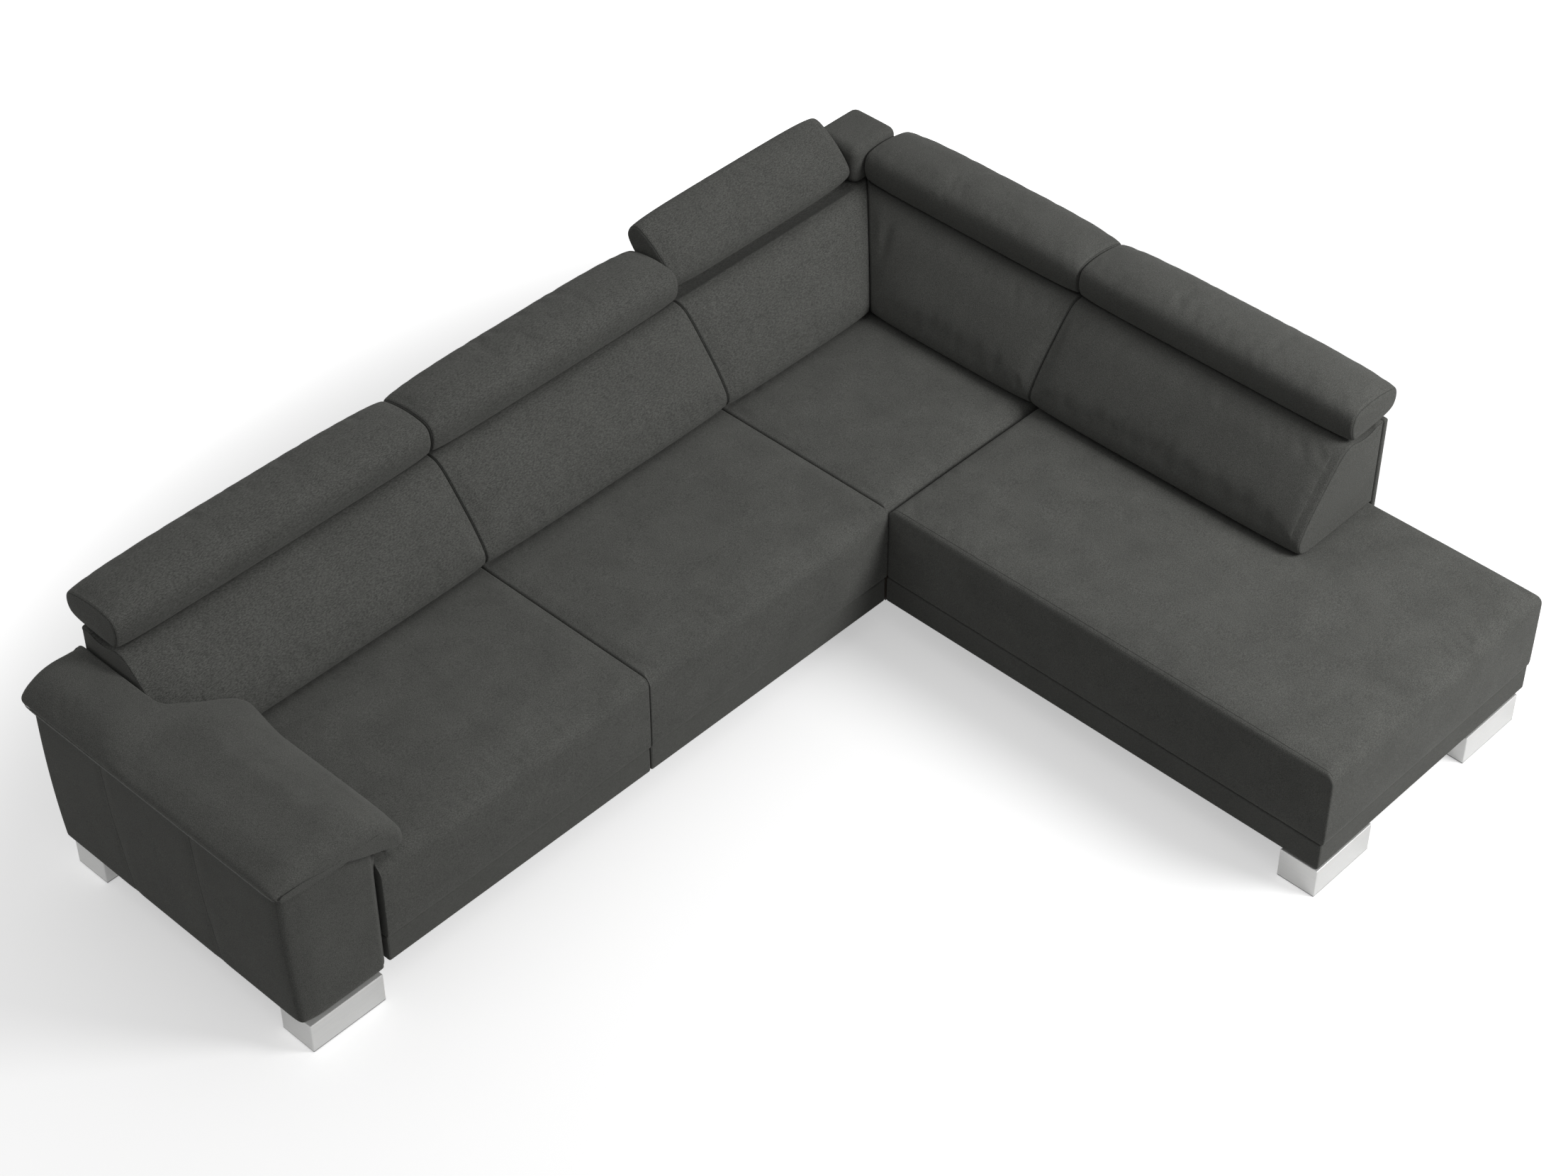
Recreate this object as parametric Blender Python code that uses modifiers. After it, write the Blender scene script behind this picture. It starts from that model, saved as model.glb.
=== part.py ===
"""Corner sofa with a chaise and five folding headrests, as separate pieces.

The long wing runs along X from the arm to the corner, and the chaise runs
from the corner towards -Y. Z is up, the floor is at zero, and the origin is on
the floor under the middle of the sofa. All sizes are in metres.
"""

import math

import bmesh
import bpy
from mathutils import Vector

# Plan of the seats, from the arm to the corner and out along the chaise.
wing_seats = 2
seat_width = 0.935
chaise_width = 0.945
wing_depth = 0.96
chaise_reach = 1.516
chaise_back_length = 0.956
arm_width = 0.265
arm_seat_gap = 0.015

# Heights above the floor.
foot_height = 0.096
seat_height = 0.44
back_height = 0.7327
arm_height = 0.575
frame_top = 0.29
back_frame_top = 0.672

# Clearances and seams.
contact = 0.0003
seam = 0.003
overrun = 0.05

# Base frames of sawn boards, their lining and the covered plinth in front.
board = 0.025
spring_rail_set_in = 0.26
spring_rail_width = 0.03
plinth_thickness = 0.03
plinth_height = 0.087
plinth_seam = 0.0037
plinth_edge = 0.006
lining_thickness = 0.002

# Zigzag seat springs with their tie wires.
spring_wire = 0.0038
spring_half_width = 0.026
spring_pitch = 0.095
spring_arch = 0.018
spring_margin = 0.13
tie_overhang = 0.03
tie_shares = (0.3, 0.7)
springs_per_seat = 4
springs_in_corner = 3
springs_in_chaise = 6
spring_gap_in_chaise = 0.235

# Seat cushions.
seat_overhang = 0.006
seat_rear_set_in = 0.28
seat_edge_radius = 0.022
seat_crown = 0.014
seat_side_draw = 0.003
seat_front_swell = 0.011
seat_crown_set_in = 0.32
chaise_crown_turn = 0.23

# Backrests: frames of studs behind a thin board, and wedge-shaped cushions.
stud = 0.045
stud_spacing = 0.30
back_frame_depth = 0.045
back_frame_set_in = 0.01
back_face_board = 0.006
back_depth = 0.35
back_foot_gap = 0.0005
back_swell = 0.014
back_edge_inset = 0.010
back_end_wall = 0.030
back_strip = 0.04
mitre_gap = 0.003
back_over_arm = 0.11
# Outline of a back cushion: depth and height as shares, and how far it swells.
back_outline_shares = (
    (0.143, 0.000, 0.0),
    (0.043, 0.050, 0.2),
    (0.006, 0.153, 0.7),
    (0.034, 0.272, 1.0),
    (0.143, 0.478, 1.0),
    (0.300, 0.717, 1.0),
    (0.420, 0.888, 0.8),
    (0.500, 0.970, 0.4),
    (0.586, 1.000, 0.0),
    (0.970, 1.000, 0.0),
    (1.000, 0.975, 0.0),
    (1.000, 0.000, 0.0),
)

# Headrests, drawn folded down, and the line that they turn about.
hinge_set_in = 0.085
hinge_height = 0.835
headrest_set_in = 0.164
headrest_depth = 0.216
headrest_gap = 0.0008
headrest_thickness = 0.1145
headrest_swell = 0.017
headrest_edge_inset = 0.012
headrest_sweep_gap = 0.003
headrest_raised_deg = 45.0
corner_headrest_gap = 0.14
corner_raised_headrest_gap = 0.195
# Outline of a headrest: depth and thickness as shares, and how far it swells.
headrest_outline_shares = (
    (0.083, 0.040, 0.10),
    (0.020, 0.270, 0.25),
    (0.000, 0.510, 0.35),
    (0.028, 0.780, 0.55),
    (0.111, 0.930, 0.80),
    (0.273, 0.991, 1.00),
    (0.480, 1.000, 1.00),
    (0.713, 0.948, 1.00),
    (0.875, 0.870, 0.80),
    (0.968, 0.755, 0.55),
    (1.000, 0.580, 0.25),
    (0.990, 0.360, 0.05),
    (0.926, 0.170, 0.00),
    (0.770, 0.066, 0.00),
    (0.480, 0.026, 0.00),
    (0.250, 0.009, 0.00),
)

# Headrest fittings: a steel bracket on the back frame and a turning frame.
hinge_share = 0.22
steel = 0.004
strip_steel = 0.003
strip_width = 0.036
strip_overhang = 0.03
strap_width = 0.022
strap_set_back = 0.0625
strap_knee_drop = 0.075
knee_rise = 0.012
ratchet_radius = 0.013
ratchet_tooth = 0.0015
ratchet_teeth = 12
pin_radius = 0.004
pin_gap = 0.00025
pin_overhang = 0.002
lug_gap = 0.0005
lug_radius = 0.010
pawl_gap = 0.0005
pawl_length = 0.006
pawl_half_width = 0.003
inner_board_front = 0.05
inner_board_rear = 0.115
inner_board_drop = 0.05
inner_board_thickness = 0.012
inner_board_overhang = 0.02
lug_foot_length = 0.028
pocket_near = 0.010
pocket_far = 0.014
slot_half_width = 0.006
slot_gap = 0.004
# Outline of the pocket in a headrest, about the hinge line.
pocket_front = 0.053
pocket_rear = 0.081
pocket_top = 0.022
pocket_shoulder = 0.035
pocket_top_front = 0.023
pocket_top_rear = 0.020

# Corner block on top of the two backs.
block_side_inset = 0.005
block_rear_overhang = 0.035
block_height = 0.125
block_radius = 0.034
block_crown = 0.006
block_gap = 0.004

# Outer covers of the backs.
cover_thickness = 0.02
cover_top_gap = 0.0047
cover_end_inset = 0.03

# Arm: crate, padded body and the loose saddle pad on top.
arm_foam = 0.018
arm_crate_board = 0.018
arm_front_overhang = 0.007
arm_swell = 0.026
arm_swell_height = 0.385
arm_swell_reach = 0.27
arm_edge_radius = 0.018
arm_spacer_height = 0.06
arm_spacer_lift = 0.03
arm_spacer_set_in = 0.12
pad_rise = 0.097
pad_overhang = 0.038
pad_front_overhang = 0.026
pad_rear_overhang = 0.012
pad_lobe_reach = 0.087
pad_lobe_drop = 0.068
pad_lobe_gap = 0.005
pad_lobe_least = 0.03
pad_fade_start_before = 0.21
pad_fade_end_before = 0.035
pad_bend_start_before = 0.07
pad_bend_end_past = 0.045
pad_back_gap = 0.003
pad_full_share = 0.9
pad_end_radius = 0.030
# Upper outline of the pad across the arm: across and up as shares.
pad_top_shares = (
    (0.000, 0.300),
    (0.004, 0.560),
    (0.050, 0.830),
    (0.170, 0.965),
    (0.350, 1.000),
    (0.550, 0.960),
    (0.740, 0.830),
    (0.890, 0.590),
    (0.980, 0.240),
)

# Feet and hidden supports.
foot_length = 0.24
foot_width = 0.12
foot_edge = 0.0025
arm_foot_inset = 0.002
arm_foot_front = 0.019
arm_foot_rear_gap = 0.025
chaise_foot_overhang = 0.0055
chaise_foot_front = 0.004
chaise_foot_right_gap = 0.034
support_radius = 0.03
support_foot_radius = 0.024
support_set_in = 0.11

# Places worked out from the sizes above.
back_profile_front = wing_depth - back_depth
spring_rail_set_back = wing_depth - spring_rail_set_in
seat_end = wing_depth - seat_rear_set_in
seat_back_line = wing_depth - seat_crown_set_in
pad_fade_start = back_profile_front - pad_fade_start_before
pad_fade_end = back_profile_front - pad_fade_end_before
pad_bend_start = back_profile_front - pad_bend_start_before
pad_bend_end = back_profile_front + pad_bend_end_past
x_seat = arm_width + arm_seat_gap
x_corner = x_seat + wing_seats * seat_width
x_right = x_corner + chaise_width
x_side = x_right - wing_depth
x_back_left = arm_width - back_over_arm
base_bottom = foot_height + contact
lining_top = base_bottom + lining_thickness
frame_bottom = lining_top + contact
skirt_bottom = base_bottom + plinth_height + plinth_seam
spring_rest = frame_top + contact + spring_wire / 2
slab_bottom = spring_rest + spring_arch + spring_wire / 2 + contact
back_bottom = seat_height + back_foot_gap
headrest_front = wing_depth - headrest_set_in
headrest_bottom = back_height + headrest_gap
hinge_line = wing_depth - hinge_set_in
frame_face = plinth_thickness
side_length = wing_depth + chaise_back_length
headrest_overhang = headrest_front + headrest_depth - wing_depth
middle_x = (x_right + headrest_overhang - pad_overhang) / 2
middle_y = (
    wing_depth + headrest_overhang - chaise_reach - seat_overhang - seat_front_swell
) / 2

FABRIC = ((0.071, 0.072, 0.066), 0.92, 0.0)
PINE = ((0.62, 0.44, 0.26), 0.65, 0.0)
STEEL = ((0.32, 0.33, 0.34), 0.38, 1.0)
SPRING = ((0.24, 0.24, 0.25), 0.42, 1.0)
SILVER = ((0.62, 0.62, 0.61), 0.33, 1.0)
LINING = ((0.02, 0.02, 0.02), 0.95, 0.0)
PLASTIC = ((0.025, 0.025, 0.026), 0.55, 0.0)


def clear_scene():
    for thing in list(bpy.data.objects):
        bpy.data.objects.remove(thing, do_unlink=True)


def new_collection(name):
    collection = bpy.data.collections.new(name)
    bpy.context.scene.collection.children.link(collection)
    return collection


def new_empty(name, place, turn=0.0, parent=None):
    """A plain reference frame, turned about Z."""
    empty = bpy.data.objects.new(name, None)
    empty.location = place
    empty.rotation_euler = (0, 0, turn)
    empty.parent = parent
    parts.objects.link(empty)
    return empty


def new_material(name, look):
    color, roughness, metallic = look
    material = bpy.data.materials.new(name)
    material.use_nodes = True
    shader = material.node_tree.nodes["Principled BSDF"]
    shader.inputs["Base Color"].default_value = (*color, 1)
    shader.inputs["Roughness"].default_value = roughness
    shader.inputs["Metallic"].default_value = metallic
    return material


def finish_mesh(name, bm, parent, look):
    """Puts a bmesh into a named part with its own material."""
    bmesh.ops.recalc_face_normals(bm, faces=bm.faces)
    if bm.calc_volume(signed=True) < 0:
        bmesh.ops.reverse_faces(bm, faces=bm.faces)
    mesh = bpy.data.meshes.new(name)
    bm.to_mesh(mesh)
    bm.free()
    piece = bpy.data.objects.new(name, mesh)
    piece.parent = parent
    if look is None:
        piece.hide_render = True
        piece.display_type = "WIRE"
        cutters.objects.link(piece)
    else:
        mesh.materials.append(new_material(name, look))
        parts.objects.link(piece)
    return piece


def box(name, low, high, parent, look=None, edge=0.0):
    """A box between two corners, with its edges rounded over if edge is set."""
    bm = bmesh.new()
    bmesh.ops.create_cube(bm, size=1)
    low, high = Vector(low), Vector(high)
    size, middle = high - low, (high + low) / 2
    bmesh.ops.scale(bm, vec=size, verts=bm.verts)
    bmesh.ops.translate(bm, vec=middle, verts=bm.verts)
    piece = finish_mesh(name, bm, parent, look)
    if edge:
        bevel = piece.modifiers.new("rounded_edges", "BEVEL")
        bevel.width = edge
        bevel.segments = 2
    return piece


def cylinder(name, centre, radius, length, axis, parent, look=None, foot_radius=None, sides=32):
    """A round bar, or a taper, along X or Z about its centre."""
    bm = bmesh.new()
    bmesh.ops.create_cone(
        bm, cap_ends=True, segments=sides, radius1=foot_radius or radius, radius2=radius, depth=length
    )
    if axis == "X":
        for vertex in bm.verts:
            vertex.co = (vertex.co.z, vertex.co.x, vertex.co.y)
    bmesh.ops.translate(bm, vec=centre, verts=bm.verts)
    piece = finish_mesh(name, bm, parent, look)
    piece.data.shade_smooth()
    piece.data.set_sharp_from_angle(angle=math.radians(30))
    return piece


def plate(name, outline, start, thickness, parent, look=None):
    """A flat outline in Y and Z, given its thickness along X from start."""
    bm = bmesh.new()
    corners = [bm.verts.new((start, y, z)) for y, z in outline]
    face = bm.faces.new(corners)
    grown = bmesh.ops.extrude_face_region(bm, geom=[face])["geom"]
    bmesh.ops.translate(
        bm, vec=(thickness, 0, 0), verts=[item for item in grown if isinstance(item, bmesh.types.BMVert)]
    )
    return finish_mesh(name, bm, parent, look)


def boolean(piece, tool, operation="DIFFERENCE"):
    modifier = piece.modifiers.new(tool.name, "BOOLEAN")
    modifier.operation = operation
    modifier.object = tool
    modifier.solver = "EXACT"


def cut_box(piece, name, low, high, parent):
    boolean(piece, box(name, low, high, parent))


def soft_edges(piece):
    piece.data.shade_smooth()
    piece.data.set_sharp_from_angle(angle=math.radians(50))


def ring_form(name, rings, parent, look):
    """A drum whose rings of points are moved onto the given sections."""
    points, count = len(rings[0]), len(rings)
    bm = bmesh.new()
    bmesh.ops.create_cone(
        bm, cap_ends=True, segments=points, radius1=1, radius2=1, depth=count - 1
    )
    lengthwise = [e for e in bm.edges if abs(e.verts[0].co.z - e.verts[1].co.z) * 2 > 1]
    bmesh.ops.subdivide_edges(bm, edges=lengthwise, cuts=count - 2, use_grid_fill=True)
    turn = 2 * math.pi / points
    for vertex in bm.verts:
        ring = round(vertex.co.z + (count - 1) / 2)
        angle = math.atan2(vertex.co.y, vertex.co.x) - math.pi / 2
        vertex.co = rings[ring][round(angle / turn) % points]
    bmesh.ops.triangulate(bm, faces=bm.faces)
    piece = finish_mesh(name, bm, parent, look)
    soft_edges(piece)
    return piece


def smooth(share):
    share = min(max(share, 0.0), 1.0)
    return share * share * (3 - 2 * share)


def bump(share):
    """Zero at both ends of a span and one in its middle, and zero outside."""
    return max(4 * share * (1 - share), 0.0) ** 0.75


def between(low, high, count):
    """Evenly spaced places between two ends, without the ends."""
    return [low + (high - low) * k / (count + 1) for k in range(1, count + 1)]


def round_levels(low, high, radius, inner):
    """Places of the mesh lines along one side of a box with round edges."""
    turn = radius * (1 - math.tan(math.pi / 8))
    return [low, low + turn, low + radius] + inner + [high - radius, high - turn, high]


def pillow(name, low, high, radius, inner, reshape, parent, look):
    """A box with round edges, whose points are then moved by reshape."""
    low, high = Vector(low), Vector(high)
    levels = [round_levels(low[k], high[k], radius, inner[k]) for k in range(3)]
    bm = bmesh.new()
    bmesh.ops.create_cube(bm, size=2)
    for k in range(3):
        across = [e for e in bm.edges if abs(e.verts[0].co[k] - e.verts[1].co[k]) > 1]
        bmesh.ops.subdivide_edges(bm, edges=across, cuts=len(levels[k]) - 2, use_grid_fill=True)
    inset = Vector((radius, radius, radius))
    for vertex in bm.verts:
        steps = [round((vertex.co[k] + 1) / 2 * (len(levels[k]) - 1)) for k in range(3)]
        place = Vector([levels[k][steps[k]] for k in range(3)])
        core = Vector(
            [min(max(place[k], low[k] + inset[k]), high[k] - inset[k]) for k in range(3)]
        )
        vertex.co = reshape(core + (place - core).normalized() * radius)
    piece = finish_mesh(name, bm, parent, look)
    soft_edges(piece)
    return piece


def mesh_from_curve(name, places, radius, parent):
    """A wire along a row of points, made a closed mesh so that it can be joined."""
    curve = bpy.data.curves.new(name, "CURVE")
    curve.dimensions = "3D"
    curve.bevel_depth = radius
    curve.bevel_resolution = 0
    curve.use_fill_caps = True
    spline = curve.splines.new("POLY")
    spline.points.add(len(places) - 1)
    for point, place in zip(spline.points, places):
        point.co = (*place, 1)
    wire = bpy.data.objects.new(name, curve)
    parts.objects.link(wire)
    bpy.context.view_layer.update()
    graph = bpy.context.evaluated_depsgraph_get()
    mesh = bpy.data.meshes.new_from_object(wire.evaluated_get(graph))
    bm = bmesh.new()
    bm.from_mesh(mesh)
    bmesh.ops.remove_doubles(bm, verts=bm.verts, dist=contact / 10)
    bpy.data.objects.remove(wire, do_unlink=True)
    bpy.data.curves.remove(curve)
    bpy.data.meshes.remove(mesh)
    return bm


def base_frame(name, x_rails, y_rails, parent):
    """Rails on edge: one block with a bay cut through between each pair of rails."""
    low = (x_rails[0][0], y_rails[0][0], frame_bottom)
    high = (x_rails[-1][1], y_rails[-1][1], frame_top)
    frame = box(name, low, high, parent, PINE)
    for i, (left, right) in enumerate(zip(x_rails, x_rails[1:])):
        for j, (front, rear) in enumerate(zip(y_rails, y_rails[1:])):
            cut_box(
                frame,
                f"{name}_bay_{i}_{j}",
                (left[1], front[1], frame_bottom - overrun),
                (right[0], rear[0], frame_top + overrun),
                parent,
            )
    return frame


def rail(start):
    return (start, start + board)


def build_bases():
    """Base frames of the wing, the corner and the chaise, with linings under them."""
    spring_rail = (spring_rail_set_back, spring_rail_set_back + spring_rail_width)
    rear = (wing_depth - board, wing_depth)
    x_middle = x_seat + wing_seats * seat_width / 2
    base_frame(
        "wing_frame",
        [rail(x_seat), rail(x_middle - board / 2), rail(x_corner - contact / 2 - board)],
        [rail(frame_face), spring_rail, rear],
        plan,
    )
    base_frame(
        "corner_frame",
        [rail(x_corner + contact / 2), rail(x_right - board)],
        [rail(contact / 2), spring_rail, rear],
        plan,
    )
    chaise_left = x_corner + plinth_thickness
    chaise_front = -chaise_reach + plinth_thickness
    base_frame(
        "chaise_frame",
        [
            rail(chaise_left),
            (x_side + spring_rail[0], x_side + spring_rail[1]),
            rail(x_right - plinth_thickness - board),
        ],
        [rail(chaise_front), rail(chaise_front / 2 - board / 2), rail(-contact / 2 - board)],
        plan,
    )
    linings = {
        "wing_lining": ((x_seat, frame_face), (x_corner - contact / 2, wing_depth)),
        "corner_lining": ((x_corner + contact / 2, contact / 2), (x_right, wing_depth)),
        "chaise_lining": (
            (chaise_left, chaise_front),
            (x_right - plinth_thickness, -contact / 2),
        ),
    }
    for name, (low, high) in linings.items():
        box(name, (*low, base_bottom), (*high, lining_top), plan, LINING)


def build_plinths():
    """Covered boards along the foot of the seats; the one on the chaise is a U."""
    top = base_bottom + plinth_height
    for k in range(wing_seats):
        left = x_seat + k * seat_width
        box(
            f"plinth_panel_{k + 1}",
            (left + seam / 2, 0, base_bottom),
            (left + seat_width - seam / 2, plinth_thickness - contact, top),
            plan,
            FABRIC,
            plinth_edge,
        )
    panel = box(
        "plinth_panel_chaise",
        (x_corner, -chaise_reach, base_bottom),
        (x_right, -contact / 2, top),
        plan,
        FABRIC,
        plinth_edge,
    )
    inner = plinth_thickness - contact
    cut_box(
        panel,
        "plinth_chaise_inside",
        (x_corner + inner, -chaise_reach + inner, base_bottom - overrun),
        (x_right - inner, overrun, top + overrun),
        plan,
    )


def spring_row(name, starts, run, length, across):
    """Zigzag wires side by side, tied by two straight wires across them."""
    steps = int(length / spring_pitch)
    pitch = length / steps

    def height(along):
        return spring_rest + spring_arch * math.sin(math.pi * along / length)

    def place(side, along):
        if run == "Y":
            return (side, across + along, height(along))
        return (across + along, side, height(along))

    wires = []
    for start in starts:
        points = []
        for k in range(steps + 1):
            sides = (-1, 1) if k % 2 else (1, -1)
            points += [place(start + s * spring_half_width, k * pitch) for s in sides]
        wires.append(points)
    for share in tie_shares:
        along = (int(share * steps) + 0.5) * pitch
        low = min(starts) - spring_half_width - tie_overhang
        high = max(starts) + spring_half_width + tie_overhang
        wires.append([place(low, along), place(high, along)])
    first = None
    for k, points in enumerate(wires):
        bm = mesh_from_curve(f"{name}_{k}", points, spring_wire / 2, plan)
        wire = finish_mesh(
            f"{name}_wire_{k}" if k else name, bm, plan, None if k else SPRING
        )
        if first is None:
            first = wire
        else:
            boolean(first, wire, "UNION")


def build_springs():
    """A row of springs under each seat, from the front rail to the spring rail."""
    end = spring_rail_set_back + spring_rail_width / 2

    def spread(low, high, count):
        return [low + (high - low) * k / (count - 1) for k in range(count)]

    for k in range(wing_seats):
        left = x_seat + k * seat_width
        front = frame_face + board / 2
        starts = spread(left + spring_margin, left + seat_width - spring_margin, springs_per_seat)
        spring_row(f"seat_springs_{k + 1}", starts, "Y", end - front, front)
    front = board / 2
    starts = spread(x_corner + spring_margin, x_side + spring_rail_set_back - spring_margin,
                    springs_in_corner)
    spring_row("seat_springs_corner", starts, "Y", end - front, front)
    left = x_corner + plinth_thickness + board / 2
    starts = [-spring_margin - k * spring_gap_in_chaise for k in range(springs_in_chaise)]
    spring_row("seat_springs_chaise", starts, "X", x_side + end - left, left)


def seat_reshape(low, high, crowned, free):
    """Crown over the open part of the seat, with swollen or drawn-in borders.

    crowned gives the height of the crown at a place. free holds the span of
    each border that stands free and swells; the other borders are drawn in.
    """
    middle = [(a + b) / 2 for a, b in zip(low, high)]
    half = [(b - a) / 2 for a, b in zip(low, high)]

    def reshape(p):
        reach = [(p[k] - middle[k]) / half[k] for k in range(3)]
        place = list(p)
        for k in (0, 1):
            if abs(p[k] - middle[k]) < half[k] - seat_edge_radius:
                continue
            side = math.copysign(1, reach[k])
            start, stop = free.get((k, side), (low[1 - k], high[1 - k]))
            along = 2 * (p[1 - k] - start) / (stop - start) - 1
            amount = seat_front_swell if (k, side) in free else -seat_side_draw
            place[k] += side * amount * max(1 - along**4, 0) * (1 - reach[2] ** 2)
        place[2] += crowned(p.x, p.y) * max(reach[2], 0.0) ** 2
        return place

    return reshape


def build_seats():
    """Four seat cushions; the open borders hang down over the frames as skirts."""
    rear = spring_rail_set_back + overrun
    for k in range(wing_seats):
        left, right = x_seat + k * seat_width, x_seat + (k + 1) * seat_width
        low = (left + seam / 2, -seat_overhang, skirt_bottom)
        high = (right - seam / 2, seat_end, seat_height)

        def crowned(x, y, left=left, right=right):
            return seat_crown * bump((x - left) / (right - left)) * bump(y / seat_back_line)

        cushion = pillow(
            f"seat_cushion_{k + 1}", low, high, seat_edge_radius,
            (between(left, right, 3), between(0, seat_back_line, 3) + [seat_back_line],
             between(skirt_bottom, seat_height, 1)),
            seat_reshape(low, high, crowned, {(1, -1.0): (left, right)}), plan, FABRIC,
        )
        cut_box(
            cushion, f"seat_{k + 1}_underside",
            (left - overrun, frame_face - contact, frame_bottom),
            (right + overrun, rear, slab_bottom), plan,
        )

    back_line = x_side + seat_back_line

    def corner_crown(x, y):
        across = (x - x_corner) / (back_line - x_corner)
        return seat_crown * bump(across) * bump(y / seat_back_line)

    low = (x_corner + seam / 2, seam / 2, slab_bottom)
    high = (x_side + seat_end, seat_end, seat_height)
    pillow(
        "seat_cushion_corner", low, high, seat_edge_radius,
        (between(x_corner, back_line, 3) + [back_line],
         between(0, seat_back_line, 3) + [seat_back_line], []),
        seat_reshape(low, high, corner_crown, {}), plan, FABRIC,
    )

    def chaise_crown(x, y):
        past_back = (behind - y) / chaise_crown_turn
        edge = back_line + (x_right - back_line) * smooth(past_back)
        across = (x - x_corner) / (edge - x_corner)
        return seat_crown * bump(across) * bump(-y / chaise_reach) ** 0.5

    behind = -chaise_back_length
    turned = behind - chaise_crown_turn
    low = (x_corner, -chaise_reach - seat_overhang, skirt_bottom)
    high = (x_right, -seam / 2, seat_height)
    chaise = pillow(
        "seat_cushion_chaise", low, high, seat_edge_radius,
        (between(x_corner, back_line, 3) + [back_line] + between(back_line, x_right, 1),
         between(-chaise_reach, turned, 1) + [turned, (turned + behind) / 2, behind]
         + between(behind, 0, 3),
         between(skirt_bottom, seat_height, 1)),
        seat_reshape(low, high, chaise_crown, {
            (1, -1.0): (x_corner, x_right),
            (0, -1.0): (-chaise_reach, 0),
            (0, 1.0): (-chaise_reach, behind),
        }), plan, FABRIC,
    )
    wall = plinth_thickness - contact
    cut_box(
        chaise, "seat_chaise_underside",
        (x_corner + wall, -chaise_reach + wall, frame_bottom),
        (x_right - wall, overrun, slab_bottom), plan,
    )
    cut_box(
        chaise, "seat_chaise_behind_back",
        (x_side + seat_end, behind + back_end_wall - contact, skirt_bottom - overrun),
        (x_right + overrun, overrun, seat_height + overrun), plan,
    )


def outward(outline):
    """Unit normals of a closed outline, pointing away from its inside."""
    count = len(outline)
    area = sum(
        outline[k][0] * outline[(k + 1) % count][1] - outline[(k + 1) % count][0] * outline[k][1]
        for k in range(count)
    )
    turn = 1 if area > 0 else -1
    normals = []
    for k in range(count):
        before, after = outline[k - 1], outline[(k + 1) % count]
        along = Vector((after[0] - before[0], after[1] - before[1])).normalized()
        normals.append((along.y * turn, -along.x * turn))
    return normals


def padded_rings(outline, swells, swell, inset, ends, inner, edge):
    """Sections of a padded bar: swollen in the middle, drawn in at both ends.

    ends gives the place of each end as a function of depth, so that an end can
    be square or mitred. edge is how far from the end the drawing in starts.
    """
    start, stop = ends
    near = [(0.0, 1.0), (0.3, 0.3), (1.0, 0.0)]
    stations = [(0, edge * offset, pull) for offset, pull in near]
    stations += [(k / (inner + 1), edge * (inner + 1 - 2 * k) / (inner + 1), 0.0)
                 for k in range(1, inner + 1)]
    stations += [(1, -edge * offset, pull) for offset, pull in reversed(near)]
    normals = outward(outline)
    rings = []
    for share, offset, pull in stations:
        ring = []
        for (y, z), (ny, nz), weight in zip(outline, normals, swells):
            middle = 2 * (share + offset / (stop(y) - start(y))) - 1
            grow = swell * weight * (1 - middle**4) - inset * pull
            y += ny * grow
            ring.append((start(y) + (stop(y) - start(y)) * share + offset, y, z + nz * grow))
        rings.append(ring)
    return rings


def back_outline():
    rise = back_height - back_bottom
    return [
        (back_profile_front + depth * back_depth, back_bottom + up * rise)
        for depth, up, _ in back_outline_shares
    ]


def back_cushion(number, ends, frame_ends, headrest, parent):
    """A wedge cushion, hollow behind for its frame, with a trough for its headrest."""
    rings = padded_rings(
        back_outline(), [w for _, _, w in back_outline_shares],
        back_swell, back_edge_inset, ends, 5, back_edge_inset,
    )
    cushion = ring_form(f"back_cushion_{number}", rings, parent, FABRIC)
    frame_front = wing_depth - back_frame_set_in - back_frame_depth
    cut_box(
        cushion, f"back_{number}_hollow",
        (frame_ends[0], frame_front - contact, back_bottom - overrun),
        (frame_ends[1], wing_depth + overrun, back_height - back_strip), parent,
    )
    start, stop = headrest
    tip = Vector((headrest_set_in - hinge_set_in, hinge_height - headrest_bottom))
    tip.x -= headrest_depth * headrest_outline_shares[0][0]
    tip.y -= headrest_thickness * headrest_outline_shares[0][1]
    trough = cylinder(
        f"back_{number}_trough",
        ((start + stop) / 2, hinge_line, hinge_height),
        tip.length + headrest_sweep_gap, stop - start + 2 * seam, "X", parent, sides=64,
    )
    boolean(cushion, trough)
    for k, place in enumerate(hinge_places(start, stop)):
        cut_box(
            cushion, f"back_{number}_slot_{k + 1}",
            (place - slot_half_width, hinge_line + strap_set_back - strap_width / 2 - slot_gap,
             back_height - back_strip - overrun),
            (place + slot_half_width, hinge_line + strap_set_back + strap_width / 2 + slot_gap,
             back_height + overrun), parent,
        )
    return cushion


def back_frame(name, start, stop, parent, board_name=None):
    """Studs and rails behind a thin face board, standing on the base frame.

    With a board_name the face board is a piece of its own in front of the studs.
    """
    front = wing_depth - back_frame_set_in - back_frame_depth
    rear = wing_depth - back_frame_set_in
    bottom = frame_top + contact
    open_from = front + back_face_board
    if board_name:
        box(board_name, (start, front, bottom), (stop, open_from, back_frame_top), parent, PINE)
        front = open_from + contact
        open_from = front - overrun
    frame = box(name, (start, front, bottom), (stop, rear, back_frame_top), parent, PINE)
    bays = math.ceil((stop - start - stud) / stud_spacing)
    pitch = (stop - start - stud) / bays
    for k in range(bays):
        left = start + k * pitch + stud
        cut_box(
            frame, f"{name}_bay_{k + 1}",
            (left, open_from, bottom + stud),
            (left + pitch - stud, rear + overrun, back_frame_top - stud), parent,
        )
    return frame


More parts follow.
